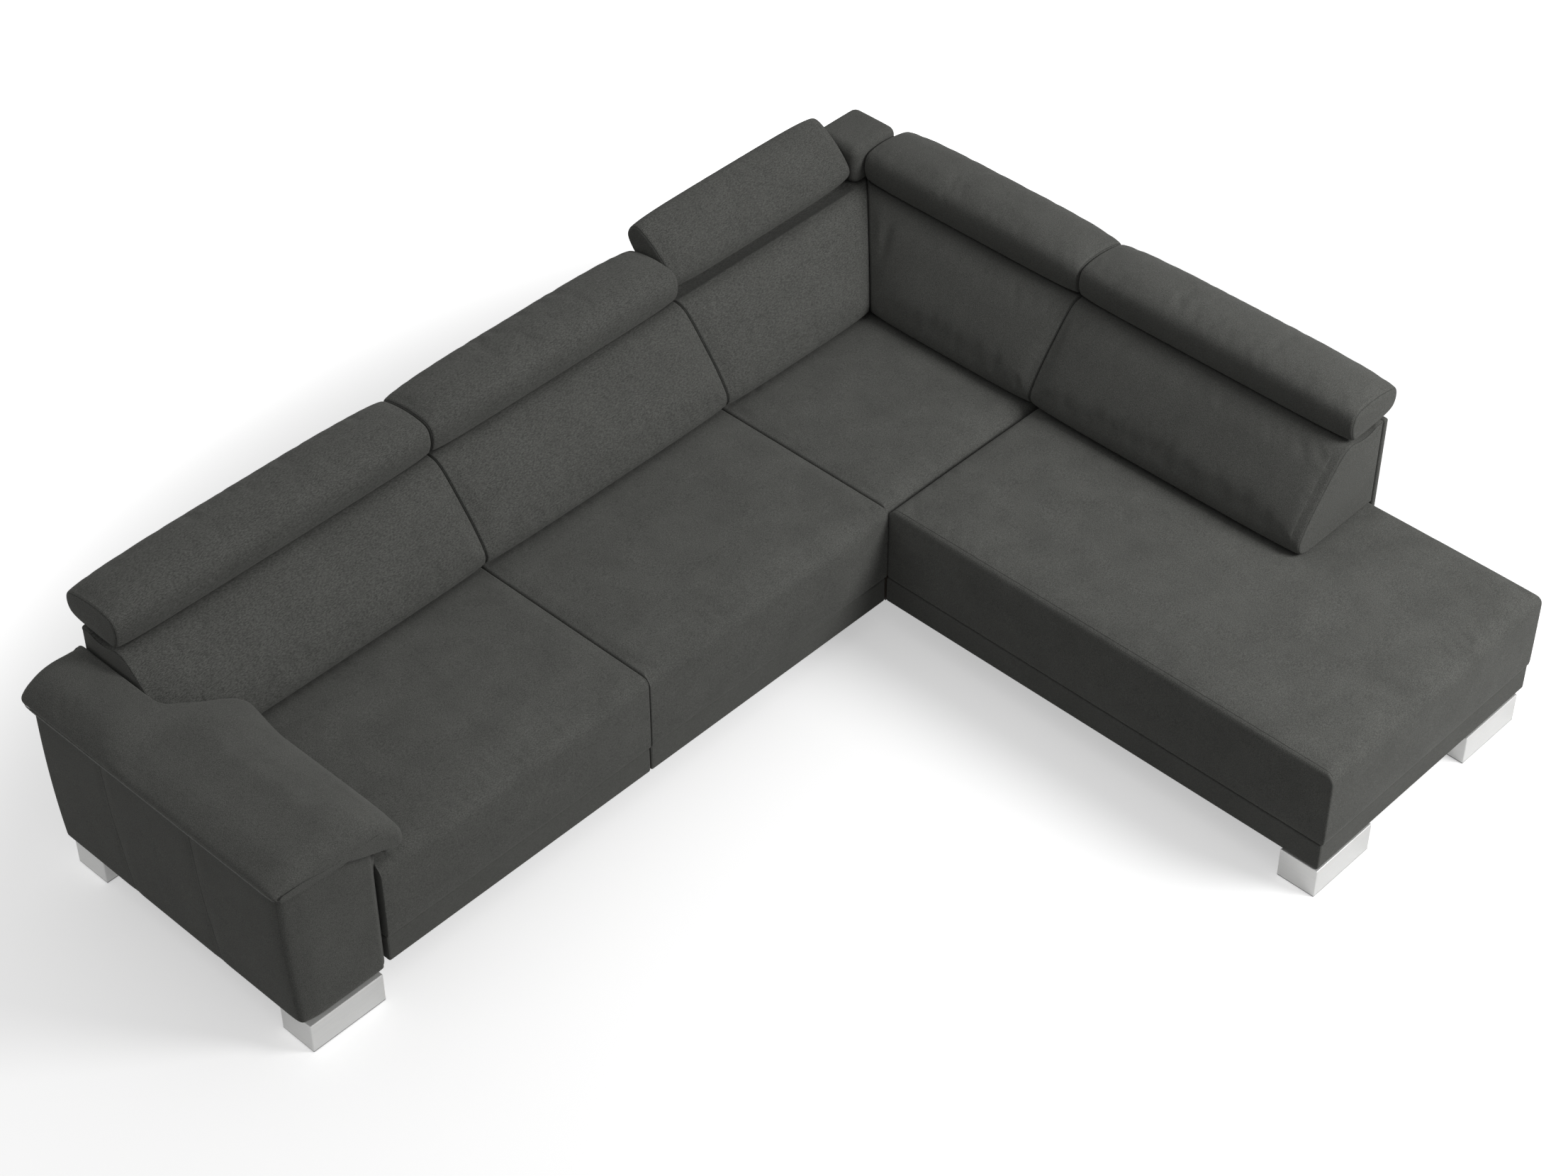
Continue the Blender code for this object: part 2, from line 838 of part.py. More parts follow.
def hinge_places(start, stop):
    """Where the two hinges of a headrest sit along it."""
    return [start + (stop - start) * share for share in (hinge_share, 1 - hinge_share)]


def headrest_pad(number, start, stop, axle):
    """The padded headrest, with pockets for its hinges and a slot for its board."""
    outline = [
        (headrest_front + depth * headrest_depth - hinge_line,
         headrest_bottom + up * headrest_thickness - hinge_height)
        for depth, up, _ in headrest_outline_shares
    ]
    rings = padded_rings(
        outline, [w for _, _, w in headrest_outline_shares], headrest_swell,
        headrest_edge_inset, (lambda y: start, lambda y: stop), 5, headrest_edge_inset,
    )
    pad = ring_form(f"headrest_{number}", rings, axle, FABRIC)
    below = headrest_bottom - hinge_height - overrun
    pocket = [
        (-pocket_front, below), (pocket_rear, below), (pocket_rear, -pocket_shoulder),
        (pocket_top_rear, pocket_top), (-pocket_top_front, pocket_top),
        (-pocket_front, -pocket_shoulder),
    ]
    places = hinge_places(start, stop)
    for k, place in enumerate(places):
        tool = plate(f"headrest_{number}_pocket_{k + 1}", pocket, place - pocket_near,
                     pocket_near + pocket_far, axle)
        boolean(pad, tool)
    cut_box(
        pad, f"headrest_{number}_board_slot",
        (places[0] - inner_board_overhang - contact, inner_board_front - contact,
         -inner_board_drop - contact),
        (places[1] + inner_board_overhang + contact, inner_board_rear + contact,
         -inner_board_drop + inner_board_thickness + contact), axle,
    )


def arc(radius, first_deg, last_deg, steps):
    return [
        (radius * math.cos(math.radians(a)), radius * math.sin(math.radians(a)))
        for a in [first_deg + (last_deg - first_deg) * k / steps for k in range(steps + 1)]
    ]


def headrest_frame(number, start, stop, axle):
    """The turning frame: a board with two lugs, their pins and pawls."""
    places = hinge_places(start, stop)
    frame = box(
        f"headrest_frame_{number}",
        (places[0] - inner_board_overhang, inner_board_front, -inner_board_drop),
        (places[1] + inner_board_overhang, inner_board_rear,
         -inner_board_drop + inner_board_thickness),
        axle, STEEL,
    )
    foot = inner_board_thickness / 4
    foot_low, foot_high = -inner_board_drop + foot, -inner_board_drop + 3 * foot
    foot_rear = inner_board_front + lug_foot_length
    pawl_near = ratchet_radius + pawl_gap
    pawl_far = pawl_near + pawl_length
    outline = arc(lug_radius, 45, 75, 1)
    outline += [(pawl_half_width, pawl_far), (-pawl_half_width, pawl_far)]
    outline += arc(lug_radius, 105, 225, 4)
    outline += [(inner_board_front - foot, foot_low), (foot_rear, foot_low), (foot_rear, foot_high)]
    for k, place in enumerate(places):
        lug_start = place + steel / 2 + lug_gap
        cut_box(
            frame, f"headrest_{number}_notch_{k + 1}",
            (place - slot_half_width, inner_board_front - overrun, -inner_board_drop - overrun),
            (lug_start + steel / 2, strap_set_back + slot_gap, overrun), axle,
        )
        lug = plate(f"headrest_{number}_lug_{k + 1}", outline, lug_start, steel, axle)
        boolean(frame, lug, "UNION")
        pin_start = place - steel / 2 - pin_overhang
        pin_stop = lug_start + steel / 2
        pin = cylinder(
            f"headrest_{number}_pin_{k + 1}", ((pin_start + pin_stop) / 2, 0, 0), pin_radius,
            pin_stop - pin_start, "X", axle, sides=16,
        )
        boolean(frame, pin, "UNION")
        pawl = box(
            f"headrest_{number}_pawl_{k + 1}",
            (place - steel / 2, -pawl_half_width / 2, pawl_near),
            (lug_start + steel / 2, pawl_half_width / 2, pawl_far - pawl_half_width / 2), axle,
        )
        boolean(frame, pawl, "UNION")


def headrest_bracket(number, start, stop, parent):
    """The fixed bracket: a strip on the back frame and two straps with ratchet heads."""
    places = hinge_places(start, stop)
    strip_low = back_frame_top + contact
    strip_middle = hinge_line + strap_set_back
    bracket = box(
        f"headrest_bracket_{number}",
        (places[0] - strip_overhang, strip_middle - strip_width / 2, strip_low),
        (places[1] + strip_overhang, strip_middle + strip_width / 2, strip_low + strip_steel),
        parent, STEEL,
    )
    head = []
    for k in range(ratchet_teeth + 1):
        angle = math.radians(10 + 200 * k / ratchet_teeth)
        for radius in (ratchet_radius, ratchet_radius - ratchet_tooth):
            head.append((radius * math.cos(angle), radius * math.sin(angle)))
    foot = strip_low + strip_steel / 2 - hinge_height
    near, far = strap_set_back - strap_width / 2, strap_set_back + strap_width / 2
    outline = [(far, foot), (far, -strap_knee_drop + knee_rise)] + head
    outline += [(near, -strap_knee_drop - knee_rise), (near, foot)]
    outline = [(y + hinge_line, z + hinge_height) for y, z in outline]
    for k, place in enumerate(places):
        strap = plate(f"bracket_{number}_strap_{k + 1}", outline, place - steel / 2, steel, parent)
        boolean(bracket, strap, "UNION")
    bore = cylinder(
        f"bracket_{number}_bore", ((start + stop) / 2, hinge_line, hinge_height),
        pin_radius + pin_gap, stop - start, "X", parent, sides=16,
    )
    boolean(bracket, bore)


def build_headrest(number, start, stop, parent, raised=0.0):
    axle = new_empty(f"headrest_{number}_axis", (0, hinge_line, hinge_height), parent=parent)
    axle.rotation_euler = (math.radians(raised), 0, 0)
    headrest_pad(number, start, stop, axle)
    headrest_frame(number, start, stop, axle)
    headrest_bracket(number, start, stop, parent)


def build_backs():
    """Five back sections: three along the wing and the corner, two along the side."""
    x_middle = x_seat + seat_width
    half = seam / 2
    free = overrun
    wing_ends = [(x_back_left, x_middle - half), (x_middle + half, x_corner - half)]
    frame_start = x_seat + board / 2
    frame_starts = [frame_start - contact, x_middle - free]
    for k, (start, stop) in enumerate(wing_ends):
        cushion = back_cushion(
            k + 1, (lambda y, s=start: s, lambda y, s=stop: s),
            (frame_starts[k], stop + free), (start, stop), plan,
        )
        if k == 0:
            cut_box(
                cushion, "back_1_over_arm",
                (x_back_left - overrun, back_profile_front - overrun, back_bottom - overrun),
                (x_seat + half, wing_depth + overrun, arm_height + contact), plan,
            )
        build_headrest(k + 1, start, stop, plan)
    back_frame("back_frame_wing", frame_start, x_corner - contact / 2, plan, "back_board_wing")

    start = x_corner + half
    rest_stop = x_right - corner_raised_headrest_gap
    back_cushion(
        3, (lambda y: start, lambda y: x_side + y - mitre_gap),
        (start - free, x_right + free), (start, rest_stop), plan,
    )
    build_headrest(3, start, rest_stop, plan, headrest_raised_deg)
    side_frame_front = x_side + wing_depth - back_frame_set_in - back_frame_depth
    back_frame("back_frame_corner", x_corner + contact / 2, side_frame_front - contact, plan)

    rest_start, stop = corner_headrest_gap, wing_depth - half
    back_cushion(
        4, (lambda y: wing_depth - y + mitre_gap, lambda y: stop),
        (-free, stop + free), (rest_start, stop), side,
    )
    build_headrest(4, rest_start, stop, side)
    back_frame("back_frame_corner_side", back_frame_set_in, wing_depth - contact / 2, side)

    last_start, last_stop = wing_depth + half, side_length
    back_cushion(
        5, (lambda y: last_start, lambda y: last_stop),
        (last_start - free, last_stop - back_end_wall + contact), (last_start, last_stop), side,
    )
    build_headrest(5, last_start, last_stop, side)
    back_frame("back_frame_chaise", wing_depth + contact / 2, last_stop - back_end_wall, side)


def build_corner_block():
    """The padded block that fills the corner between the two rows of headrests."""
    low = (
        x_right - corner_raised_headrest_gap + block_gap,
        wing_depth - corner_headrest_gap + block_gap,
        back_height + contact,
    )
    high = (x_right - block_side_inset, wing_depth + block_rear_overhang, low[2] + block_height)
    middle = [(a + b) / 2 for a, b in zip(low, high)]
    half = [(b - a) / 2 for a, b in zip(low, high)]

    def reshape(p):
        s, t, w = [(p[k] - middle[k]) / half[k] for k in range(3)]
        lift = block_crown * (1 - s * s) * (1 - t * t) * max(w, 0.0)
        return (p.x, p.y, p.z + lift)

    pillow(
        "corner_block", low, high, block_radius,
        (between(low[0], high[0], 2), between(low[1], high[1], 2), between(low[2], high[2], 1)),
        reshape, plan, FABRIC,
    )


def build_covers():
    """Upholstered outer panels behind the backs, down to the foot of the base."""
    near, far = wing_depth + contact, wing_depth + cover_thickness
    top = back_height - cover_top_gap
    cover = box(
        "rear_cover_wing", (x_back_left + cover_end_inset, near, base_bottom),
        (x_corner - contact / 2, far, top), plan, FABRIC,
    )
    cut_box(
        cover, "rear_cover_over_arm",
        (x_back_left - overrun, wing_depth - overrun, base_bottom - overrun),
        (x_seat, far + overrun, arm_height + contact), plan,
    )
    box(
        "rear_cover_corner", (x_corner + contact / 2, near, base_bottom), (x_right, far, top),
        plan, FABRIC,
    )
    box(
        "side_cover_corner", (-cover_thickness, near, base_bottom),
        (wing_depth - contact / 2, far, top), side, FABRIC,
    )
    box(
        "side_cover_chaise", (wing_depth + contact / 2, near, base_bottom),
        (side_length, far, top), side, FABRIC,
    )


def build_arm():
    """The arm: a wooden crate, its padded body, a spacer to the seat and the pad."""
    front, rear = -arm_front_overhang, wing_depth
    low = (0, front, base_bottom - arm_edge_radius)
    high = (arm_width, rear, arm_height)

    def reshape(p):
        outer = max(1 - p.x / arm_edge_radius, 0) if p.x < arm_edge_radius else 0
        rise = (p.z - arm_swell_height) / arm_swell_reach
        return (p.x - arm_swell * (1 - rise * rise) * min(2 * outer, 1), p.y, p.z)

    body = pillow(
        "arm_body", low, high, arm_edge_radius,
        ([], between(front, rear, 3), between(base_bottom, arm_height, 4)), reshape, plan, FABRIC,
    )
    cut_box(
        body, "arm_underside",
        (-overrun, front - overrun, low[2] - overrun),
        (arm_width + overrun, rear + overrun, base_bottom), plan,
    )
    cut_box(
        body, "arm_inside",
        (arm_foam, front + arm_foam, base_bottom - overrun),
        (arm_width - arm_foam, rear - arm_foam, arm_height - arm_foam), plan,
    )
    crate_low = (arm_foam + contact, front + arm_foam + contact, base_bottom)
    crate_high = (
        arm_width - arm_foam - contact, rear - arm_foam - contact, arm_height - arm_foam - contact
    )
    crate = box("arm_frame", crate_low, crate_high, plan, PINE)
    cut_box(
        crate, "arm_frame_inside",
        (crate_low[0] + arm_crate_board, crate_low[1] + arm_crate_board, base_bottom - overrun),
        tuple(v - arm_crate_board for v in crate_high), plan,
    )
    box(
        "arm_spacer",
        (arm_width + contact, arm_spacer_set_in, frame_bottom + arm_spacer_lift),
        (x_seat - contact, wing_depth - arm_spacer_set_in,
         frame_bottom + arm_spacer_lift + arm_spacer_height),
        plan, PINE,
    )
    build_arm_pad()


def pad_section(y, pull):
    """Section of the pad across the arm; its lobe fades away before the back.

    pull draws the section in, so that the ends of the pad are rounded.
    """
    fade = smooth((y - pad_fade_start) / (pad_fade_end - pad_fade_start))
    bend = smooth((y - pad_bend_start) / (pad_bend_end - pad_bend_start))
    wide, narrow = arm_width + pad_lobe_reach, x_back_left - pad_back_gap
    bottom, left = arm_height + contact, -pad_overhang
    right = wide + (narrow - wide) * bend
    inner = min(arm_width + pad_lobe_gap, right - pad_lobe_least)
    drop, lobe = pad_lobe_drop * (1 - fade), right - inner
    points = []
    for across, up in pad_top_shares:
        foot = bottom - drop * smooth(2 * across - 1)
        up += (pad_full_share - up) * bend * smooth(3 * across - 1) if up < pad_full_share else 0
        points.append((left + (right - left) * across, foot + (bottom + pad_rise - foot) * up))
    points += [(right - lobe / 5, bottom - drop), (inner + lobe / 4, bottom - drop)]
    points += [(inner + lobe / 20, bottom - drop * 2 / 3), (inner, bottom)]
    points.append((left + pad_overhang / 2, bottom))
    return [
        (x - nx * pull, y, z - nz * pull) for (x, z), (nx, nz) in zip(points, outward(points))
    ]


def build_arm_pad():
    front, rear = -arm_front_overhang - pad_front_overhang, wing_depth + pad_rear_overhang
    ends = ((0.0, 0.6), (0.15, 0.28), (0.5, 0.08), (1.0, 0.0))
    stations = [(front + a * pad_end_radius, b * pad_end_radius) for a, b in ends]
    first, last = front + pad_end_radius, rear - pad_end_radius
    stations += [(first + (pad_fade_start - first) * k / 3, 0.0) for k in (1, 2, 3)]
    stations += [(pad_fade_start + (pad_bend_start - pad_fade_start) * k / 3, 0.0) for k in (1, 2, 3)]
    stations += [(pad_bend_start + (pad_bend_end - pad_bend_start) * k / 4, 0.0) for k in (1, 2, 3, 4)]
    stations += [(pad_bend_end + (last - pad_bend_end) / 2, 0.0)]
    stations += [(rear - a * pad_end_radius, b * pad_end_radius) for a, b in reversed(ends)]
    ring_form("arm_pad", [pad_section(y, pull) for y, pull in stations], plan, FABRIC)


def build_feet():
    """Four metal block feet where they show, and round supports out of sight."""
    front = -arm_foot_front
    rear = wing_depth - arm_foot_rear_gap - foot_width
    chaise_front = -chaise_reach - chaise_foot_front
    corners = {
        "foot_arm_front": (arm_foot_inset, front),
        "foot_arm_rear": (arm_foot_inset, rear),
        "foot_chaise_left": (x_corner - chaise_foot_overhang, chaise_front),
        "foot_chaise_right": (x_right - chaise_foot_right_gap - foot_length, chaise_front),
    }
    for name, (x, y) in corners.items():
        box(name, (x, y, 0), (x + foot_length, y + foot_width, foot_height), plan, SILVER, foot_edge)
    near = support_set_in
    supports = (
        (x_corner - near, frame_face + near),
        (x_corner - near, wing_depth - near),
        (x_right - near, wing_depth - near),
        (x_corner + plinth_thickness + near, -near),
        (x_right - plinth_thickness - near, -near),
    )
    for k, (x, y) in enumerate(supports):
        cylinder(
            f"support_leg_{k + 1}", (x, y, foot_height / 2), support_radius, foot_height, "Z",
            plan, PLASTIC, foot_radius=support_foot_radius, sides=24,
        )


clear_scene()
parts = new_collection("corner_sofa")
cutters = new_collection("cutters")
plan = new_empty("plan", (-middle_x, -middle_y, 0))
side = new_empty("side", (x_side, wing_depth, 0), -math.pi / 2, plan)
build_bases()
build_plinths()
build_springs()
build_seats()
build_backs()
build_corner_block()
build_covers()
build_arm()
build_feet()
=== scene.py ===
"""Looks of the corner sofa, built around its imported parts.

Metres, Z up. The long wing runs along X, its rear towards +Y, and the chaise
runs towards -Y. The sections follow the sofa as it is put together.
"""

import math

import bpy
import bmesh
import numpy as np
from mathutils import Matrix, Vector


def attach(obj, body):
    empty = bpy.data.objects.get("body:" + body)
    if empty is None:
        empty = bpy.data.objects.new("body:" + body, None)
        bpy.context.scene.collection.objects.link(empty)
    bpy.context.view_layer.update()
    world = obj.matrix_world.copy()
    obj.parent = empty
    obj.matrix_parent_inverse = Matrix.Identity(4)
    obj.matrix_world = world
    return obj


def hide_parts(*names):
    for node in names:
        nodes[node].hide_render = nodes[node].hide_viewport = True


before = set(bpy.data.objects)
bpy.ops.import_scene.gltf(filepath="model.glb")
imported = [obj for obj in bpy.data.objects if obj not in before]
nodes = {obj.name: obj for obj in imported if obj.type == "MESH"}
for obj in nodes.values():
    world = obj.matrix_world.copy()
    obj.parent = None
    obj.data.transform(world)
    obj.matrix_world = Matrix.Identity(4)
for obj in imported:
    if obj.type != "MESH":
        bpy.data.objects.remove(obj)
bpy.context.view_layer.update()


# Block feet. Each is a box of folded sheet with a silver lacquer, screwed under
# a corner of the base, and stands on a thin dark glide.


def new_finish(name, colour, roughness, metallic=0.0):
    """A plain finish whose even values sit on the shader itself."""
    finish = bpy.data.materials.new(name)
    finish.use_nodes = True
    shader = finish.node_tree.nodes["Principled BSDF"]
    shader.inputs["Base Color"].default_value = (*colour, 1)
    shader.inputs["Roughness"].default_value = roughness
    shader.inputs["Metallic"].default_value = metallic
    return finish, finish.node_tree, shader


def add(tree, kind, inputs=(), **settings):
    """One node, its settings and its inputs, which are values or other outputs."""
    node = tree.nodes.new("ShaderNode" + kind)
    for key, value in settings.items():
        setattr(node, key, value)
    for key, value in dict(inputs).items():
        if isinstance(value, bpy.types.NodeSocket):
            tree.links.new(value, node.inputs[key])
        else:
            node.inputs[key].default_value = value
    return node


def calc(tree, operation, a, b=0.0, c=0.0):
    """One sum, product or other operation on numbers."""
    return add(tree, "Math", {0: a, 1: b, 2: c}, operation=operation).outputs[0]


def ramp(tree, value, low, high, to_low=0.0, to_high=1.0, smooth=False):
    """Carries the range low..high over to another range, and stops at its ends."""
    inputs = {"Value": value, "From Min": low, "From Max": high}
    inputs.update({"To Min": to_low, "To Max": to_high})
    kind = "SMOOTHSTEP" if smooth else "LINEAR"
    return add(tree, "MapRange", inputs, interpolation_type=kind).outputs["Result"]


def spots(tree, scale, detail=2.0, roughness=0.5):
    """Noise in the object's own metres, stretched where the scales differ."""
    place = add(tree, "TexCoord").outputs["Object"]
    place = add(tree, "Mapping", {"Vector": place, "Scale": scale}).outputs[0]
    inputs = {"Vector": place, "Scale": 1.0, "Detail": detail, "Roughness": roughness}
    return add(tree, "TexNoise", inputs).outputs[0]


def tint(tree, shader, colour, strength):
    """The colour made lighter or darker from place to place by strength."""
    shade = add(tree, "VectorMath", {0: colour, "Scale": strength}, operation="SCALE")
    tree.links.new(shade.outputs[0], shader.inputs["Base Color"])


def relief(tree, shader, height, depth):
    """Small relief: height from 0 to 1 stands for depth metres."""
    bump = add(tree, "Bump", {"Height": height, "Distance": depth, "Strength": 1.0})
    tree.links.new(bump.outputs[0], shader.inputs["Normal"])


def dress(node_names, finish):
    """Gives CAD nodes their finish in place of the plain one."""
    for name in node_names:
        nodes[name].data.materials.clear()
        nodes[name].data.materials.append(finish)


silver, tree, shader = new_finish("silver_lacquer", (0.68, 0.68, 0.67), 0.34, 0.55)
flakes = spots(tree, (900, 900, 900), 2)
drawn = spots(tree, (14, 14, 160), 2)
level = add(tree, "SeparateXYZ", {0: add(tree, "TexCoord").outputs["Object"]}).outputs["Z"]
glide = ramp(tree, level, 0.0035, 0.0042)
tone = calc(tree, "ADD", ramp(tree, flakes, 0.3, 0.7, 0.94, 1.0), ramp(tree, drawn, 0.3, 0.7, 0.0, 0.05))
tint(tree, shader, (0.68, 0.68, 0.67), calc(tree, "MULTIPLY", tone, ramp(tree, glide, 0, 1, 0.04, 1)))
tree.links.new(ramp(tree, drawn, 0.3, 0.7, 0.28, 0.42), shader.inputs["Roughness"])
relief(tree, shader, flakes, 0.00002)
feet = ["foot_arm_front", "foot_arm_rear", "foot_chaise_left", "foot_chaise_right"]
dress(feet, silver)


# Round supports out of sight. Moulded black plastic with a fine grain, screwed
# under the corners of the base where no block foot stands.
plastic, tree, shader = new_finish("grained_plastic", (0.02, 0.02, 0.021), 0.5)
grain = spots(tree, (1400, 1400, 1400), 3)
tint(tree, shader, (0.02, 0.02, 0.021), ramp(tree, grain, 0.3, 0.7, 0.8, 1.3))
relief(tree, shader, grain, 0.00015)
dress([f"support_leg_{k}" for k in range(1, 6)], plastic)


# Timber inside. Base and back frames and the arm's crate are planed pine, glued
# and stapled, with the grain along the long boards. Where they show in the gaps
# beside the arm and at the end of the wing they are painted near-black, a painted
# shade for those dark gaps, and so is the spacer.
arm_side, wing_end, gap_shade_reach, gap_shade_tone = -1.262, 0.5955, 0.03, 0.03


def pine(name, along):
    """Pine whose year rings are long along one axis and close across it."""
    finish, tree, shader = new_finish(name, (0.62, 0.44, 0.26), 0.6)
    long_way = [26.0, 26.0, 26.0]
    long_way[along] = 1.6
    rings = spots(tree, long_way, 3, 0.65)
    fibre = spots(tree, [26 * scale for scale in long_way], 2)
    bands = calc(tree, "PINGPONG", calc(tree, "MULTIPLY", rings, 9.0), 0.5)
    tone = calc(tree, "ADD", ramp(tree, bands, 0.05, 0.5, 0.66, 1.05),
                ramp(tree, fibre, 0.3, 0.7, -0.08, 0.08))
    # Painted shade: the pine is darkened near-black at the wing's end and left of the arm's side, standing
    # in for the shade in those gaps.
    where = add(tree, "SeparateXYZ", {0: add(tree, "TexCoord").outputs["Object"]}).outputs["X"]
    from_joint = calc(tree, "ABSOLUTE", calc(tree, "SUBTRACT", where, wing_end))
    outside_gap_shade = ramp(tree, from_joint, gap_shade_reach, gap_shade_reach + 0.0001, gap_shade_tone, 1)
    tone = calc(tree, "MULTIPLY", tone, outside_gap_shade)
    outside_gap_shade = ramp(tree, where, arm_side, arm_side + 0.0001, gap_shade_tone, 1)
    tone = calc(tree, "MULTIPLY", tone, outside_gap_shade)
    tint(tree, shader, (0.62, 0.43, 0.25), tone)
    relief(tree, shader, fibre, 0.0002)
    return finish


wing_pine, side_pine = pine("pine_along_wing", 0), pine("pine_along_chaise", 1)
dress(["wing_frame", "corner_frame", "back_frame_wing", "back_board_wing", "back_frame_corner"],
      wing_pine)
dress(["chaise_frame", "back_frame_chaise", "back_frame_corner_side", "arm_frame"],
      side_pine)
# The spacer is painted near-black as well, a painted shade for the gap beside the arm.
painted_gap_shade, tree, shader = new_finish("black_board_painted_gap_shade", (0.02, 0.019, 0.018), 0.7)
fibre = spots(tree, (500, 25, 500), 3)
tint(tree, shader, (0.02, 0.019, 0.018), ramp(tree, fibre, 0.3, 0.7, 0.7, 1.3))
relief(tree, shader, fibre, 0.0002)
dress(["arm_spacer"], painted_gap_shade)


# Seat springs. Zigzag spring wire, drawn and oiled, clipped over the rails and
# tied crosswise by straight wires.
wire, tree, shader = new_finish("spring_wire", (0.2, 0.2, 0.21), 0.4, 1.0)
oil = spots(tree, (120, 120, 120), 3)
tint(tree, shader, (0.2, 0.2, 0.21), ramp(tree, oil, 0.3, 0.7, 0.75, 1.2))
tree.links.new(ramp(tree, oil, 0.3, 0.7, 0.3, 0.5), shader.inputs["Roughness"])
dress([f"seat_springs_{k}" for k in ("1", "2", "corner", "chaise")], wire)


# Dust cloths. Thin black fleece of pressed fibres, stapled under each frame.
fleece, tree, shader = new_finish("black_fleece", (0.02, 0.02, 0.02), 0.95)
fibres = spots(tree, (700, 700, 700), 4, 0.7)
tint(tree, shader, (0.022, 0.022, 0.021), ramp(tree, fibres, 0.3, 0.7, 0.6, 1.5))
relief(tree, shader, fibres, 0.0004)
dress(["wing_lining", "corner_lining", "chaise_lining"], fleece)


# Headrest fittings. Pressed steel with a thin zinc coat: a bracket with toothed
# heads on the back frame, and the turning board inside each headrest.
zinc, tree, shader = new_finish("zinc_steel", (0.42, 0.43, 0.44), 0.36, 1.0)
cloud = spots(tree, (45, 45, 45), 4, 0.7)
tint(tree, shader, (0.42, 0.43, 0.44), ramp(tree, cloud, 0.3, 0.7, 0.8, 1.15))
tree.links.new(ramp(tree, cloud, 0.3, 0.7, 0.28, 0.46), shader.inputs["Roughness"])
fittings = [f"headrest_{kind}_{k}" for kind in ("bracket", "frame") for k in range(1, 6)]
dress(fittings, zinc)


# Cover cloth. Warm charcoal upholstery cloth with a short soft pile. The cloth of
# the wing has long slub threads along X, and the rest has a fine pebbled face.
charcoal = (0.101, 0.102, 0.095)
seam_far = 0.2
stitch_length, stitch_offset = 0.0065, 0.0065


def cover_cloth(name, threads, slub, mottle, sewn=True):
    """Cloth with threads, grain and soft clouds, and stitched seams where sewn.

    The piece's "stitch" attribute holds seam_far less the distance across a
    seam, so that zero is far from one, and the length along it. The seam is a
    groove, with a row of stitches on each side.
    """
    finish, tree, shader = new_finish(name, charcoal, 0.92)
    shader.inputs["Specular IOR Level"].default_value = 0.18
    shader.inputs["Sheen Weight"].default_value = 0.1
    shader.inputs["Sheen Roughness"].default_value = 0.55
    shader.inputs["Sheen Tint"].default_value = (0.86, 0.87, 0.82, 1)
    thread = spots(tree, threads, 1, 0.5)
    grain = spots(tree, (560, 560, 560), 2, 0.6)
    cloud = spots(tree, (8, 8, 8), 4, 0.6)
    fine_cloud = spots(tree, (36, 36, 36), 3, 0.6)
    tone = ramp(tree, thread, 0.32, 0.68, 1 - slub, 1 + slub)
    tone = calc(tree, "MULTIPLY", tone, ramp(tree, grain, 0.3, 0.7, 0.8, 1.2))
    tone = calc(tree, "MULTIPLY", tone, ramp(tree, cloud, 0.3, 0.7, 1 - mottle, 1 + mottle))
    tone = calc(tree, "MULTIPLY", tone,
                ramp(tree, fine_cloud, 0.3, 0.7, 1 - mottle / 4, 1 + mottle / 4))
    face = calc(tree, "ADD", calc(tree, "MULTIPLY", thread, 0.5), calc(tree, "MULTIPLY", grain, 0.5))
    if sewn:
        stitch = add(tree, "Attribute", attribute_name="stitch").outputs["Vector"]
        split = add(tree, "SeparateXYZ", {0: stitch}).outputs
        across = calc(tree, "ABSOLUTE", calc(tree, "SUBTRACT", seam_far, split["X"]))
        along = split["Y"]
        groove = ramp(tree, across, 0.0, 0.0024, smooth=True)
        beside = calc(tree, "ABSOLUTE", calc(tree, "SUBTRACT", across, stitch_offset))
        row = ramp(tree, beside, 0.0005, 0.0013, 1, 0, smooth=True)
        dash = calc(tree, "SINE", calc(tree, "MULTIPLY", along, 2 * math.pi / stitch_length))
        yarn = calc(tree, "MULTIPLY", row, ramp(tree, dash, -0.5, 0.1, smooth=True))
        # Painted shade: the colour in the seam groove is darkened to 0.6, as for the shade in the crease.
        tone = calc(tree, "MULTIPLY", tone, ramp(tree, groove, 0, 1, 0.6, 1))
        tone = calc(tree, "MULTIPLY", tone, ramp(tree, row, 0, 1, 1, 0.93))
        tone = calc(tree, "MULTIPLY", tone, ramp(tree, yarn, 0, 1, 1, 1.25))
        face = calc(tree, "ADD", calc(tree, "MULTIPLY", face, 0.6), calc(tree, "MULTIPLY", groove, 0.5))
        face = calc(tree, "ADD", face, calc(tree, "MULTIPLY", yarn, 0.2))
        relief(tree, shader, face, 0.0013)
    else:
        relief(tree, shader, face, 0.0008)
    tint(tree, shader, charcoal, tone)
    return finish


wing_cloth = cover_cloth("cloth_slub_along_wing", (150, 480, 480), 0.34, 0.06)
side_cloth = cover_cloth("cloth_pebbled", (380, 380, 380), 0.24, 0.07)
seat_cloth = cover_cloth("cloth_mottled", (230, 420, 420), 0.24, 0.11)
board_cloth = cover_cloth("cloth_on_boards", (150, 260, 260), 0.09, 0.06, sewn=False)


# Plinths. Boards along the foot of the seats, wrapped in the cover cloth and
# screwed to the base frames just behind the skirts of the seats.
dress(["plinth_panel_1", "plinth_panel_2", "plinth_panel_chaise"], board_cloth)


# Outer covers. Cloth over thin wadding on the rear of the wing and on the outer
# side of the corner and the chaise back, sewn along its edges.
middle_x, middle_y = 1.5545, -0.2605
wing_depth = 0.96
x_side = 2.135
base_bottom = 0.0963
padded_pieces = []


